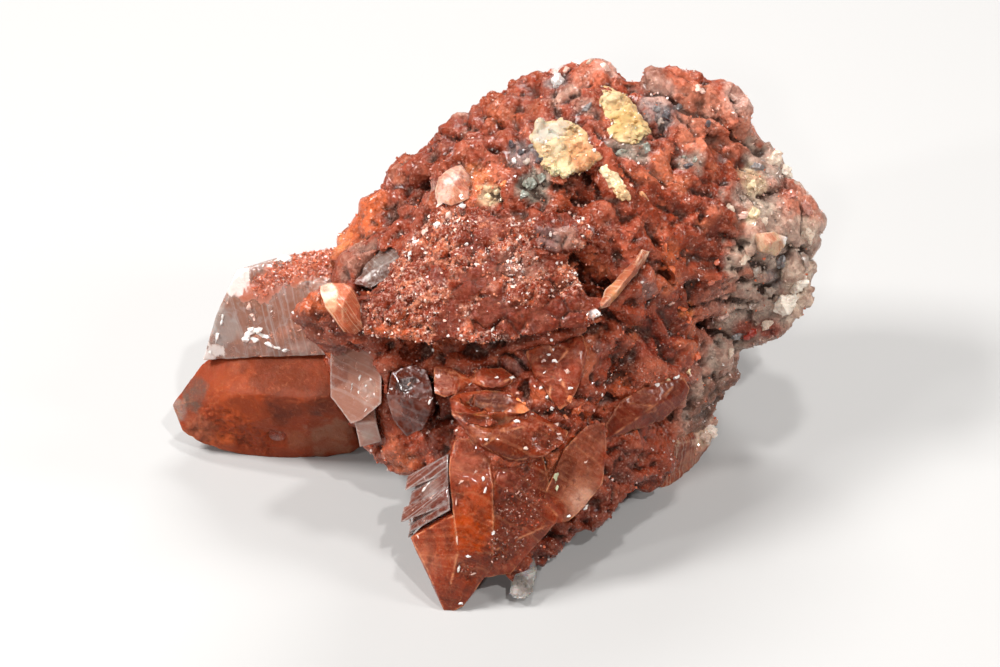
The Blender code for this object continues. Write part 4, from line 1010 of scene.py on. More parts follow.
def make_leaf():
    """The leaf-shaped crystal under the blade's middle, dished and chipped."""
    patches = [
        (584, 370, 1.0, rgb(204, 104, 50), 0.9), (586, 345, 0.9, rgb(196, 98, 50), 0.8),
        (560, 350, 1.8, rgb(112, 38, 22), 0.8), (548, 385, 1.5, rgb(134, 52, 28), 0.7),
        (534, 350, 1.0, rgb(156, 66, 34), 0.7), (565, 330, 1.2, rgb(150, 62, 34), 0.7),
    ]
    mesh = crystal_form("upright_lens", SMALL_FACET, rgb(134, 48, 25), patches, 250, 0.05,
                        [(556, 360, 2.4), (548, 385, 1.6), (560, 335, 1.4)],
                        [(556, 362, 2.6, 0.7), (560, 340, 1.6, 0.4)], reach=0.4, crust=0.5, seam=0.16,
                        bowls=[(545, 380, 3.0), (565, 340, 3.0)])
    show("leaf_crystal", mesh, bpy.data.materials["orange_red_gypsum"], "upright_lens", "upright_lens",
         crease=CREASE)


def make_small_cloudy():
    """The small crystals that aren't clear."""
    satin = cloudy_material("striped_pale_gypsum", rgb(156, 72, 42), rgb(238, 210, 184), 0.5,
                            (0.6, 0.75, -0.2), 0.22, rough=(0.25, 0.5), lines=1.0)
    combed = cloudy_material("combed_pale_gypsum", rgb(140, 58, 32), rgb(236, 204, 168), 0.4,
                             (0.8, 0.37, 0.47), 0.2, rough=(0.25, 0.5), lines=1.3, wear_and_glint=0.4)
    red = bpy.data.materials["orange_red_gypsum"]
    plain = [
        ("pale_crystal", rgb(182, 90, 56), 0.25, [
            (326, 293, 1.3, rgb(232, 214, 190), 0.95), (332, 306, 0.9, rgb(216, 160, 122), 0.8),
            (350, 314, 1.4, rgb(166, 74, 44), 0.85), (354, 332, 1.2, rgb(130, 54, 32), 0.8)], combed),
        ("blush_crystal", rgb(206, 160, 142), 0.95, [
            (452, 180, 1.0, WHITE, 0.8), (455, 200, 1.4, rgb(190, 110, 76), 0.8),
            (445, 195, 1.0, PINK_WHITE, 0.8), (462, 185, 0.9, rgb(180, 90, 60), 0.8)], satin),
        ("ridge_blade", rgb(160, 84, 52), 0.7, [
            (600, 312, 0.8, WHITE, 0.9), (640, 270, 1.8, rgb(132, 56, 36), 0.8),
            (618, 292, 1.2, rgb(206, 140, 92), 0.7)], satin),
        ("lower_right_slab", rgb(110, 36, 20), 0.4, [
            (688, 384, 0.9, PINK_WHITE, 0.9), (640, 405, 2.0, rgb(122, 44, 24), 0.7)], red),
        ("lower_right_crystal", rgb(112, 44, 28), 0.8, [
            (713, 431, 2.0, rgb(232, 212, 194), 0.95), (702, 440, 1.7, rgb(212, 178, 154), 0.9),
            (675, 445, 2.0, rgb(106, 38, 24), 0.8), (690, 462, 1.6, rgb(160, 112, 92), 0.7)], satin),
        ("crest_tip", rgb(190, 154, 124), 0.9, [
            (787, 237, 0.9, WHITE, 0.9), (770, 238, 0.8, ROSE, 0.6)], satin),
    ]
    for seed, (node, base, crust, patches, material) in enumerate(plain, 300):
        mesh = crystal_form(node, SMALL_FACET, base, patches, seed * 3, 0.06, chipped=0.15, crust=crust)
        show_form(node, mesh, material)


FRONT = make_front()
make_lower_left()
make_leaf()
make_small_cloudy()


# Clear crystals
def make_upper_left():
    """The clear crystal with a white corner, streaks at its left end and a pink coating along its top."""
    white = [(238, 277, 1.5), (234, 286, 1.1), (216, 350, 1.0), (208, 357, 1.0)]
    pink = [(248, 289, 1.3), (262, 287, 1.6), (276, 277, 1.7), (292, 272, 1.6), (310, 262, 2.2),
            (330, 262, 2.4)]
    clear = [(285, 320, 2.6, rgb(186, 130, 108), 0.7), (320, 340, 1.8, rgb(190, 140, 120), 0.7),
             (222, 325, 2.4, rgb(206, 188, 178), 0.8), (300, 348, 1.2, rgb(208, 170, 154), 0.7)]
    mesh = crystal_form("upper_left_crystal", SMALL_FACET, rgb(188, 132, 108), clear, 430, 0.04,
                        [(300, 268, 2.4), (325, 265, 2.4), (262, 282, 1.2)], seam=0.04)
    points = places(mesh)
    tree = solid_tree("upper_left_crystal")
    streaks = rough_noise(points * np.array((2.4, 1.0, 0.45)), 0.8, 431)
    whiteness = near(points, white, tree, streaks * 0.6) * 0.8
    pinkness = near(points, pink, tree, rough_noise(points, 1.2, 433) * 0.4)
    milk = mix(evenly(rgb(158, 116, 98), points), rgb(164, 90, 66), pinkness)
    milk = mix(milk, rgb(218, 208, 202), whiteness)
    layer = mesh.attributes["tint"]
    milky = np.maximum(whiteness, pinkness) > 0.12
    tints = np.empty(len(points) * 4, np.float32)
    layer.data.foreach_get("color", tints)
    tints = tints.reshape(-1, 4)
    tints[milky, :3] = milk[milky]
    layer.data.foreach_set("color", tints.ravel())
    piece = show_form("upper_left_crystal", mesh, clear_material(
        "clear_gypsum", 0.6, rgb(226, 160, 134), 80, (0.97, 0.1, 0.2), 0.5, 0.9))
    mesh.materials.append(grain_material("milky_gypsum", 0.25, 0.3, veins=0.12))
    for face in mesh.polygons:
        face.material_index = int(all(milky[i] for i in face.vertices))
    return piece


def make_small_clear():
    """The wedge, the smoky crystal, the plates and the grey crystal in the valley."""
    glassy = [
        ("clear_wedge", rgb(184, 128, 108), 0.0, [
            # The left facet is painted darker and the right one lighter: painted shade and light across the
            # crease
            (340, 375, 1.6, rgb(142, 88, 72), 0.9), (368, 392, 1.5, rgb(200, 152, 132), 0.8),
            (368, 434, 1.2, rgb(196, 164, 148), 0.7)], [(368, 390, 1.3)],
         clear_material("pinkish_gypsum", 0.45, rgb(220, 160, 138), 70, (0.2, 0.3, 0.9), 0.6, 0.3, veil=0.12,
                        wear_and_glint=0.6)),
        ("smoky_crystal", rgb(92, 36, 20), 0.7, [
            (404, 385, 1.2, rgb(58, 40, 36), 0.9), (425, 400, 1.2, rgb(112, 58, 44), 0.7),
            (395, 408, 1.0, rgb(140, 84, 68), 0.7)], [(415, 380, 2.0)],
         clear_material("smoky_gypsum", 0.3, rgb(186, 104, 74), 220, (0.3, 0.3, 0.8), 0.5, 0.1, veil=0.0,
                        wear_and_glint=0.1, coat=0.0)),
        ("striated_plates", rgb(150, 82, 64), 0.1, [
            (406, 530, 1.0, WHITE, 0.9), (430, 488, 1.2, rgb(196, 150, 136), 0.7),
            (440, 510, 1.2, rgb(132, 66, 52), 0.7), (425, 545, 1.0, rgb(160, 88, 68), 0.7)],
         [(408, 530, 0.8)],
         clear_material("plated_gypsum", 0.6, rgb(226, 172, 152), 60, (-0.62, 0.45, 0.64), 0.28, 1.0)),
        ("valley_crystal", rgb(118, 84, 72), 0.9, [
            # The white patch is a painted glint
            (366, 276, 0.7, WHITE, 0.8), (380, 262, 1.2, rgb(142, 126, 118), 0.7),
            (356, 284, 1.2, rgb(130, 62, 44), 0.8)], [(360, 280, 2.0)],
         clear_material("grey_gypsum", 0.35, rgb(206, 196, 186), 60, (0.8, 0.4, 0.3), 0.4, 0.4, veil=0.15,
                        wear_and_glint=0.3, coat=0.0)),
    ]
    for seed, (node, base, crust, patches, rough_at, material) in enumerate(glassy, 440):
        mesh = crystal_form(node, SMALL_FACET, base, patches, seed * 5, 0.05, rough_at, crust=crust,
                            reach=0.22, chipped=0.06, seam=0.04)
        show_form(node, mesh, material)


UPPER_LEFT = make_upper_left()
make_small_clear()


# The yellow crusts and the white flake
def make_crusts():
    """Ragged crusts, lumpy and grainy, grey at one corner."""
    yellow = cloudy_material("yellow_crust", rgb(160, 118, 76), rgb(216, 200, 164), 0.4,
                             (0.2, 0.8, 0.5), 0.4, rough=(0.45, 0.7), through=0.0, lines=0.1, wear_and_glint=0.3,
                             coat=0.1)
    grey = cloudy_material("frosted_white_gypsum", rgb(120, 112, 106), rgb(236, 234, 230), 0.4,
                           (0.5, 0.5, 0.5), 0.3, rough=(0.15, 0.4), through=0.45, lines=0.2)
    crusts = [
        ("left_crust", yellow, rgb(194, 166, 126), [
            (543, 132, 1.5, rgb(160, 156, 148), 0.85), (586, 160, 1.8, rgb(190, 122, 84), 0.85),
            (564, 145, 0.7, rgb(140, 134, 104), 0.7), (560, 170, 1.5, rgb(206, 190, 150), 0.8),
            (578, 142, 1.6, rgb(204, 148, 104), 0.7), (556, 128, 1.2, rgb(186, 178, 164), 0.8),
            (552, 150, 1.4, rgb(210, 190, 158), 0.8)]),
        ("right_crust", yellow, rgb(196, 166, 120), [
            (625, 120, 2.0, rgb(184, 150, 92), 0.8), (610, 96, 1.2, rgb(206, 184, 146), 0.8),
            (636, 134, 1.2, rgb(200, 178, 130), 0.7)]),
        ("white_flake", grey, rgb(168, 162, 156), [
            (528, 570, 0.9, WHITE, 0.7), (514, 594, 0.9, WHITE, 0.7),
            (520, 580, 0.6, rgb(110, 104, 98), 0.8)]),
    ]
    for seed, (node, material, base, patches) in enumerate(crusts, 400):
        mesh = crystal_form(node, CRUST_VOXEL, base, patches, seed, 0.16, chipped=0.5, reach=0.9, crust=0.9,
                            seam=0.1, rounded=True, relief=1.5)
        if node == "white_flake":
            show_form(node, mesh, material, BROKEN_CREASE)
            continue
        points, out = places(mesh), directions(mesh)
        broken = slabs(points, 1.1, 0.4, 0.12, seed, 0.15) + rough_noise(points, 0.5, seed + 40) * 0.05
        set_places(mesh, points + out * broken[:, None])
        show_form(node, mesh, material, BROKEN_CREASE)
        strew(node + "_grains", mesh, 110, (0.12, 0.5), seed + 200, bpy.data.materials["milky_gypsum"], node,
              lambda p: np.ones(len(p)), grain_tints(partial(evenly, rgb(190, 160, 120)), WHITE, 0.5, 45))


# Bits set in the surface, and grains
BIT_FORMS = 9
BIT_CORNERS = 16
BIT_THICKNESS = 0.8
GRAIN_FORMS = 10
GRAIN_CORNERS = 9
GRAIN_LENGTH = 1.3
GRAIN_LEAN = 0.45
MOSTLY_SMALL = 2.2


def shard_forms(count, seed, corners, long=1.0):
    """A few small broken crystals, each the hull of a few points."""
    chance = random.Random(seed)
    made = []
    for _ in range(count):
        form = bmesh.new()
        for _ in range(corners):
            point = Vector([chance.gauss(0, 1) for _ in range(3)]).normalized()
            form.verts.new((point.x * 0.5, point.y * 0.5, point.z * 0.5 * long))
        hull = bmesh.ops.convex_hull(form, input=form.verts)
        spare = {v for v in hull["geom_interior"] if isinstance(v, bmesh.types.BMVert)}
        bmesh.ops.delete(form, geom=list(spare), context="VERTS")
        made.append(as_mesh(form, "shard"))
    return made


# Each bit: across, down, length, width, turn in the view in degrees from the right, colour
SET_BITS = [
    # White and grey bits on the top
    (558, 82, 2.2, 1.5, 60, rgb(206, 204, 200)), (577, 63, 1.5, 1.2, 0, WHITE),
    (590, 62, 1.3, 0.9, 10, BEIGE), (606, 68, 1.6, 1.1, -30, PINK_WHITE),
    (566, 70, 1.0, 0.8, 40, PINK_WHITE), (588, 108, 1.6, 1.0, 20, STONE_GREY),
    (655, 108, 1.3, 1.1, 30, STONE_GREY), (666, 116, 1.5, 1.1, 80, DARK_GREY),
    (676, 108, 1.2, 1.0, 0, STONE_GREY), (660, 122, 1.1, 0.9, 20, GREY_BEIGE),
    (700, 90, 1.5, 1.0, -20, PINK_WHITE), (733, 98, 1.8, 1.0, -50, PINK_WHITE),
    (688, 166, 1.1, 0.9, 0, DARK_GREY), (696, 160, 1.0, 0.8, 50, GREY_GREEN),
    (684, 158, 0.9, 0.8, 20, GREY_GREEN), (708, 122, 1.1, 0.8, 20, DARK_GREY),
    (726, 150, 1.0, 0.8, 0, ROSE), (646, 148, 1.4, 1.0, 60, GREY_GREEN),
    (622, 152, 1.4, 0.9, 10, GREY_GREEN),
    # Dark and green crystals left of the crust, and the white and cream grains of the shoulder
    (512, 145, 1.0, 0.8, 30, DARK_GREY), (521, 152, 1.1, 0.9, 80, DARK_GREY),
    (532, 147, 1.0, 0.8, 10, STONE_GREY), (540, 160, 1.2, 0.9, 50, DARK_GREY),
    (527, 163, 1.1, 0.8, 0, GREY_BEIGE), (514, 160, 1.0, 0.8, 70, WHITE),
    (530, 184, 1.9, 1.5, 30, GREY_GREEN), (541, 178, 1.3, 1.0, 60, GREY_GREEN),
    (524, 195, 1.2, 0.9, 20, GREY_GREEN), (444, 186, 1.6, 1.2, 60, PINK_WHITE),
    (450, 176, 1.3, 1.0, 20, WHITE), (456, 192, 1.1, 1.0, 0, BRIGHT_ORANGE),
    (440, 206, 1.2, 0.9, 60, PINK_WHITE), (464, 182, 1.0, 0.9, 30, BRIGHT_ORANGE),
    (462, 206, 1.4, 0.9, 15, WHITE), (448, 216, 1.4, 0.9, 40, PINK_WHITE), (436, 226, 1.1, 0.9, 60, WHITE),
    (426, 232, 1.0, 0.8, 60, PINK_WHITE), (478, 188, 1.0, 0.8, 0, BRIGHT_ORANGE),
    (488, 196, 1.0, 0.9, 30, CREAM), (497, 192, 0.9, 0.8, 0, CREAM), (492, 204, 0.8, 0.7, 70, CREAM),
    (505, 184, 0.9, 0.8, 20, BRIGHT_ORANGE), (474, 200, 0.9, 0.7, 45, ROSE),
    (416, 243, 1.0, 0.8, 60, WHITE), (410, 256, 0.9, 0.7, 70, WHITE), (403, 270, 0.8, 0.6, 60, PINK_WHITE),
    # The cream strip under the crusts and the slivers on the right-hand face
    (611, 176, 3.6, 1.8, -66, CREAM), (622, 194, 3.0, 1.7, -58, rgb(222, 184, 136)),
    (643, 196, 1.6, 0.8, -35, rgb(222, 160, 116)), (665, 246, 2.6, 0.8, -75, rgb(196, 96, 54)),
    (671, 268, 2.0, 0.8, -75, rgb(206, 104, 60)), (672, 303, 0.9, 0.7, 40, PINK_WHITE),
    (682, 308, 1.6, 0.7, -40, rgb(206, 96, 50)), (689, 318, 1.4, 0.7, -70, rgb(196, 90, 46)),
    (697, 357, 1.4, 0.9, 20, rgb(206, 98, 56)), (722, 316, 1.4, 1.3, 20, PINK_WHITE),
    (718, 262, 1.2, 0.9, 30, ROSE), (712, 282, 1.2, 1.0, 30, ROSE), (688, 372, 0.8, 0.7, 0, CREAM),
    (677, 377, 0.7, 0.5, 20, WHITE), (667, 380, 0.7, 0.5, 40, CREAM), (658, 386, 0.6, 0.5, 0, WHITE),
    (575, 411, 1.6, 1.2, 30, rgb(206, 98, 52)), (570, 400, 1.0, 0.8, 70, rgb(214, 120, 70)),
    # The grey and beige blocks of the right-hand end
    (772, 160, 2.6, 2.0, 20, BEIGE), (758, 168, 1.8, 1.3, -30, STONE_GREY),
    (786, 172, 2.2, 1.6, -50, PALE_BEIGE), (752, 186, 1.6, 1.2, 20, CREAM),
    (744, 200, 1.6, 1.1, 0, GREY_BEIGE), (754, 213, 2.0, 1.6, 30, CREAM), (763, 222, 1.4, 1.1, 40, BEIGE),
    (742, 216, 1.4, 1.0, 10, PINK_WHITE), (730, 208, 1.4, 0.9, -20, BEIGE),
    (806, 208, 2.0, 1.4, -60, rgb(178, 120, 104)), (792, 196, 1.8, 1.3, 10, rgb(170, 104, 86)),
    (807, 236, 2.2, 1.6, -70, BEIGE), (803, 262, 2.4, 1.6, -80, GREY_BEIGE),
    (782, 262, 2.0, 1.4, 40, STONE_GREY), (798, 284, 3.2, 2.2, 60, PALE_BEIGE),
    (786, 304, 3.6, 2.4, 50, PALE_BEIGE), (768, 292, 1.8, 1.4, 40, GREY_BEIGE),
    (756, 272, 1.8, 1.2, 20, GREY_BEIGE), (744, 258, 2.0, 1.2, 20, BEIGE),
    (752, 306, 1.6, 1.2, 10, GREY_BEIGE), (768, 324, 1.8, 1.2, 40, BEIGE),
    (752, 334, 1.8, 1.1, 30, rgb(150, 46, 30)), (738, 336, 1.6, 1.2, 30, STONE_GREY),
    (730, 352, 1.6, 1.0, 60, BEIGE), (724, 372, 1.4, 1.0, 40, GREY_BROWN),
    # The pale inclusion in the right-hand blade
    (556, 478, 1.3, 0.5, 80, rgb(176, 176, 140)), (557, 488, 0.9, 0.4, 70, rgb(190, 186, 150)),
    # White bits painted as glints low on the clear crystal at the left and on the wedge beside it, and white
    # streaks and pink-white bits at the crystal's left end
    (246, 338, 1.5, 0.9, 60, WHITE), (252, 331, 1.7, 1.0, 35, WHITE), (259, 330, 1.3, 1.0, 10, WHITE),
    (263, 336, 1.5, 0.8, -30, WHITE), (255, 340, 1.2, 0.7, -10, WHITE), (269, 344, 1.6, 0.8, -20, WHITE),
    (277, 348, 1.1, 0.6, 0, WHITE), (287, 350, 0.9, 0.4, 5, WHITE), (249, 306, 1.0, 0.35, -80, PINK_WHITE),
    (253, 316, 0.9, 0.4, -60, PINK_WHITE), (272, 311, 0.4, 0.35, 0, WHITE), (222, 320, 1.6, 0.3, 72, WHITE),
    (217, 338, 1.6, 0.35, 70, WHITE), (211, 352, 1.2, 0.4, 70, WHITE), (228, 300, 1.2, 0.3, 70, PINK_WHITE),
    (300, 330, 1.0, 0.25, 20, PINK_WHITE), (360, 378, 0.7, 0.3, 60, WHITE),
    (366, 386, 0.6, 0.35, 40, WHITE), (371, 379, 0.5, 0.3, 20, WHITE), (359, 392, 0.7, 0.3, 70, WHITE),
    (368, 396, 0.5, 0.3, 30, WHITE), (352, 388, 0.9, 0.2, 65, WHITE), (366, 410, 0.8, 0.2, 40, WHITE),
    # White and pink-white bits painted as glints on the spear, the lenses and the smoky crystal
    (483, 479, 0.9, 0.35, 80, WHITE), (485, 490, 0.8, 0.45, 60, WHITE), (468, 556, 0.9, 0.5, -10, WHITE),
    (461, 604, 0.6, 0.3, 20, WHITE), (452, 422, 0.6, 0.4, 60, WHITE), (487, 440, 0.5, 0.4, 0, WHITE),
    (517, 422, 0.9, 0.4, -30, WHITE), (527, 448, 0.5, 0.3, -20, PINK_WHITE),
    (457, 540, 1.6, 0.25, -88, PINK_WHITE), (459, 566, 1.4, 0.3, 80, WHITE),
    (473, 574, 0.9, 0.4, 30, PINK_WHITE), (456, 500, 1.2, 0.2, 88, PINK_WHITE),
    (493, 534, 0.4, 0.25, 40, WHITE), (470, 384, 0.6, 0.3, 20, WHITE), (497, 378, 0.5, 0.3, -20, WHITE),
    (512, 378, 0.6, 0.35, 0, WHITE), (521, 402, 0.9, 0.3, -60, BRIGHT_ORANGE),
    (509, 396, 0.8, 0.25, -30, WHITE), (461, 482, 0.9, 0.25, 35, PINK_WHITE),
    (475, 473, 0.9, 0.25, 35, PINK_WHITE), (545, 462, 0.4, 0.3, 0, WHITE),
    (586, 462, 0.6, 0.3, 20, PINK_WHITE), (568, 516, 0.5, 0.4, 0, WHITE), (587, 506, 1.6, 0.4, 40, WHITE),
    (431, 401, 1.0, 0.35, 55, WHITE), (392, 389, 0.45, 0.3, 0, WHITE), (409, 385, 0.6, 0.2, 30, PINK_WHITE),
    # The white edge of the plates, with white bits painted as glints on it
    (411, 519, 1.4, 0.4, -72, WHITE), (414, 530, 1.0, 0.45, -60, WHITE),
    (417, 536, 0.7, 0.3, -50, PINK_WHITE), (426, 487, 1.8, 0.3, 32, WHITE),
    (433, 496, 0.9, 0.2, 32, PINK_WHITE), (415, 508, 1.2, 0.2, 30, PINK_WHITE),
    # White bits painted as glints in the hollow of the upright leaf, and grains to the right of it, the white
    # ones also painted glints
    (549, 355, 0.5, 0.35, 20, WHITE), (556, 362, 0.6, 0.35, -30, WHITE), (545, 372, 0.5, 0.3, 50, WHITE),
    (560, 345, 0.5, 0.3, 60, PINK_WHITE), (551, 340, 0.45, 0.3, 0, WHITE),
    (566, 371, 0.5, 0.3, -40, PINK_WHITE), (553, 350, 0.4, 0.25, 70, WHITE),
    (543, 361, 0.45, 0.25, 10, PINK_WHITE), (561, 380, 0.6, 0.4, 20, PINK_WHITE),
    (566, 418, 0.9, 0.6, -20, rgb(214, 120, 80)), (556, 424, 0.8, 0.6, 10, PINK_WHITE),
    (548, 398, 0.5, 0.4, 0, WHITE), (552, 409, 0.6, 0.4, 40, WHITE), (586, 400, 0.5, 0.4, 0, WHITE),
    (596, 392, 0.5, 0.4, 30, PINK_WHITE), (540, 388, 0.5, 0.35, 30, WHITE), (570, 388, 0.6, 0.4, 0, WHITE),
    (559, 434, 0.6, 0.4, 20, PINK_WHITE),
    # The whitish point of the crystal at the lower right
    (713, 431, 2.2, 1.8, 30, rgb(230, 214, 200)), (704, 438, 1.9, 1.5, -30, rgb(206, 176, 156)),
    (698, 449, 1.5, 1.2, 60, rgb(176, 122, 98)),
    # The lump behind the clear crystal on the left, and a white bit painted as the glint on the grey crystal
    # in the valley
    (284, 259, 2.2, 1.2, 10, rgb(226, 222, 218)), (372, 276, 0.9, 0.7, 20, WHITE),
]


def make_bits():
    """Small crystals, pebbles and slivers set in the rock, each sunk to about its middle."""
    carriers = ("rock", "granular_blade", "upper_left_crystal_form", "front_crystals_form",
                "clear_wedge_form", "lower_right_crystal_form", "striated_plates_form",
                "smoky_crystal_form", "leaf_crystal")
    surface = tree_of(*(bpy.data.meshes[name] for name in carriers))
    templates = shard_forms(BIT_FORMS, 620, BIT_CORNERS)
    form = bmesh.new()
    owner = []
    for i, (across, down, long, wide, turn, colour) in enumerate(SET_BITS):
        spot, facing = touch(across, down, surface)
        up = Vector(facing)
        lean = AIM_TURN @ Vector((math.cos(math.radians(turn)), math.sin(math.radians(turn)), 0))
        along = (lean - up * lean.dot(up)).normalized()
        size = Matrix.Diagonal((long, wide, wide * BIT_THICKNESS))
        stance = Matrix((along, up.cross(along), up)).transposed() @ size
        bit = templates[i % len(templates)].copy()
        bit.transform(Matrix.Translation(Vector(spot) * MM) @ stance.to_4x4() @ Matrix.Scale(MM, 4))
        form.from_mesh(bit)
        owner += [i] * len(bit.vertices)
        bpy.data.meshes.remove(bit)
    layer = form.verts.layers.int.new("bit")
    for vert, i in zip(form.verts, owner):
        vert[layer] = i
    bmesh.ops.recalc_face_normals(form, faces=form.faces)
    cut_small(form, BIT_FACET)
    whose = np.array([vert[layer] for vert in form.verts])
    mesh = as_mesh(form)
    points, out = places(mesh), directions(mesh)
    broken = slabs(points, 0.7, 0.35, 0.14, 631) + rough_noise(points, 0.6, 641) * 0.07
    set_places(mesh, points + out * broken[:, None])
    tints = np.array([colour for *_, colour in SET_BITS])[whose]
    shade = 1 + 0.25 * rough_noise(points, 0.8, 651)
    paint(mesh, "tint", np.clip(tints * shade[:, None], 0, 1))
    show("set_bits", mesh, grain_material("set_crystals", 0.5, 0.25, veins=0.4), "matrix", crease=CREASE)


def strew(name, source, count, sizes, seed, material, slot, where, colour_of, raised=0.15):
    """Grows grains over a mesh, more of them where a rule says so, each raised by a part of its size."""
    chance = np.random.default_rng(seed)
    centres = np.empty(len(source.polygons) * 3, np.float32)
    ups = centres.copy()
    areas = np.empty(len(source.polygons), np.float32)
    source.polygons.foreach_get("center", centres)
    source.polygons.foreach_get("normal", ups)
    source.polygons.foreach_get("area", areas)
    centres, ups = centres.reshape(-1, 3).astype(float) / MM, ups.reshape(-1, 3).astype(float)
    weight = areas * where(centres) * (centres[:, 2] > sizes[1])
    chosen = chance.choice(len(areas), count, replace=False, p=weight / weight.sum())
    templates = shard_forms(GRAIN_FORMS, seed, GRAIN_CORNERS, GRAIN_LENGTH)
    form = bmesh.new()
    used = []
    for face in chosen:
        size = sizes[0] + (sizes[1] - sizes[0]) * chance.random() ** MOSTLY_SMALL
        up = Vector(ups[face]) + Vector(chance.normal(0, GRAIN_LEAN, 3))
        turn = up.to_track_quat("Z", "Y").to_matrix() @ Matrix.Rotation(chance.random() * math.tau, 3, "Z")
        squeeze = Matrix.Diagonal((size, size * (0.5 + 0.5 * chance.random()), size))
        spot = Vector(centres[face]) + Vector(ups[face]) * size * raised
        shard = templates[int(chance.integers(len(templates)))].copy()
        shard.transform(Matrix.Translation(spot * MM) @ (turn @ squeeze).to_4x4() @ Matrix.Scale(MM, 4))
        form.from_mesh(shard)
        used.append(len(shard.vertices))
        bpy.data.meshes.remove(shard)
    mesh = as_mesh(form)
    paint(mesh, "tint", np.repeat(colour_of(centres[chosen], chance), used, axis=0))
    show(name, mesh, material, slot)


def grain_tints(base_of, pale, share, seed):
    """Grain colours: what they grow on, lighter or darker, and a share of pale ones."""
    def colours(points, chance):
        tints = base_of(points) * (0.8 + 0.8 * chance.random((len(points), 1)))
        often = share * (0.6 + 0.8 * ramp(rough_noise(points, 3.0, seed), -0.3, 0.6))
        light = chance.random(len(points)) < often
        return np.clip(mix(tints, pale, light * (0.45 + 0.5 * chance.random(len(points)))), 0, 1)
    return colours


def make_grains():
    """Grains on the blade, the rock, the clear crystal's top and the spear, and bright ones among them,
    painted white and pink-white as sparkle highlights.
    """
    glossy = grain_material("red_grains", 0.25, 0.3)
    rock_tree = solid_tree("matrix")
    strew("blade_grains", BLADE.data, 6500, (0.1, 0.42), 500, glossy, "druse_blade",
          lambda p: (0.08 + ramp(blade_net(p), 0.4, 0.9)) * (1.05 - glassiness(p)),
          grain_tints(blade_colours, PINK_WHITE, 0.22, 502))
    grainy = [(446, 190, 3.0), (478, 195, 3.0), (500, 180, 2.5), (655, 378, 3.0), (625, 375, 2.0),
              (752, 200, 3.0), (575, 408, 2.2), (560, 400, 1.6), (540, 380, 1.6), (425, 370, 2.0)]
    strew("rock_grains", ROCK.data, 6500, (0.1, 0.42), 510, grain_material("clay_grains", 0.35, 0.2),
          "matrix", lambda p: 0.1 + ramp(rock_net(p), 0.4, 0.9) * 0.4 + 2 * near(p, grainy, rock_tree),
          grain_tints(lambda p: stain(rock_colours(p), p, ROCK_PATCHES, rock_tree, ROCK_STAIN),
                      PINK_WHITE, 0.16, 512))
    top_band = [(262, 286, 1.4), (280, 274, 1.5), (298, 266, 1.6), (318, 262, 1.8), (335, 262, 1.8)]
    coat = solid_tree("upper_left_crystal")
    strew("pink_coating", UPPER_LEFT.data, 800, (0.14, 0.45), 520, glossy, "upper_left_crystal",
          lambda p: near(p, top_band, coat),
          grain_tints(partial(evenly, rgb(176, 92, 64)), PINK_WHITE, 0.3, 522))
    broken = [(520, 505, 2.6), (505, 545, 2.2), (468, 572, 1.0), (545, 440, 1.6), (530, 470, 1.6),
              (470, 360, 1.6)]
    front = solid_tree("front_crystals")
    strew("front_grains", FRONT.data, 900, (0.08, 0.32), 560, glossy, "front_crystals",
          lambda p: near(p, broken, front),
          grain_tints(partial(evenly, rgb(126, 50, 30)), PINK_WHITE, 0.25, 562))
    # Pale glossy grains, their white and pink-white painted as sparkle highlights
    bright = grain_material("bright_grains", 0.08, 0.1, veins=0.0)
    strew("sparkles", BLADE.data, 1900, (0.08, 0.46), 540, bright, "druse_blade",
          lambda p: (0.15 + ramp(rough_noise(p, 2.0, 541), 0, 0.5)) * (1.15 - glassiness(p)),
          grain_tints(partial(evenly, PINK_WHITE), WHITE, 0.6, 542), raised=0.3)
    strew("rock_sparkles", ROCK.data, 2700, (0.1, 0.4), 550, bright, "matrix",
          lambda p: 0.15 + ramp(rough_noise(p, 2.5, 551), 0.0, 0.6),
          grain_tints(partial(evenly, ROSE), WHITE, 0.6, 552), raised=0.3)


make_crusts()
make_bits()
make_grains()


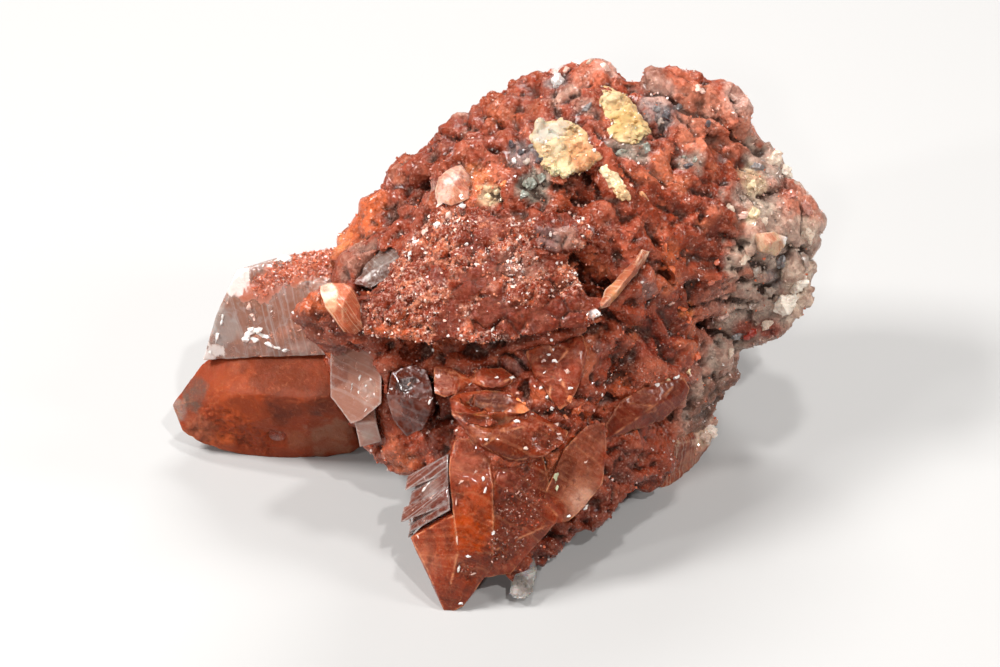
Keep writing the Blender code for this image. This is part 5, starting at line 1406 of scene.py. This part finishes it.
# The stage, with lengths in metres
FLOOR_SIZE = 3
AIM_OF_LIGHTS = Vector((0, 0, 0.02))


def make_stage():
    form = bmesh.new()
    bmesh.ops.create_grid(form, x_segments=1, y_segments=1, size=FLOOR_SIZE)
    floor = bpy.data.objects.new("floor", as_mesh(form, "floor"))
    bpy.context.scene.collection.objects.link(floor)
    material, _, _ = new_material("pale_floor", Base_Color=(0.4, 0.39, 0.38, 1), Roughness=0.6)
    floor.data.materials.append(material)


def make_light(name, place, size, watts):
    lamp = bpy.data.lights.new(name, "AREA")
    lamp.shape = "RECTANGLE"
    lamp.size, lamp.size_y = size
    lamp.energy = watts
    holder = bpy.data.objects.new(name, lamp)
    holder.location = place
    holder.rotation_euler = (AIM_OF_LIGHTS - Vector(place)).to_track_quat("-Z", "Y").to_euler()
    bpy.context.scene.collection.objects.link(holder)


def make_studio():
    make_light("key_softbox", (-0.3, 0.0, 0.36), (0.12, 0.1), 2.6)
    make_light("right_softbox", (0.34, -0.06, 0.26), (0.06, 0.1), 0.6)
    make_light("back_softbox", (0.05, 0.4, 0.34), (0.3, 0.08), 1.6)
    make_light("front_lamp", (0.16, -0.28, 0.5), (0.02, 0.02), 1.4)
    make_light("left_lamp", (-0.34, -0.2, 0.22), (0.03, 0.03), 0.5)
    make_light("top_lamp", (0.06, 0.08, 0.55), (0.05, 0.05), 1.1)
    make_light("low_lamp", (-0.05, -0.4, 0.3), (0.03, 0.03), 0.5)
    world = bpy.data.worlds.new("studio")
    world.use_nodes = True
    world.node_tree.nodes["Background"].inputs[0].default_value = (1, 0.98, 0.95, 1)
    world.node_tree.nodes["Background"].inputs[1].default_value = 0.06
    bpy.context.scene.world = world
    lens = bpy.data.cameras.new("camera")
    lens.lens, lens.sensor_width = LENS, SENSOR
    lens.clip_start = 0.01
    camera = bpy.data.objects.new("camera", lens)
    camera.location = EYE
    camera.rotation_euler = AIM_TURN.to_euler()
    bpy.context.scene.collection.objects.link(camera)
    bpy.context.scene.camera = camera
    bpy.context.scene.view_settings.view_transform = "Standard"


make_stage()
make_studio()
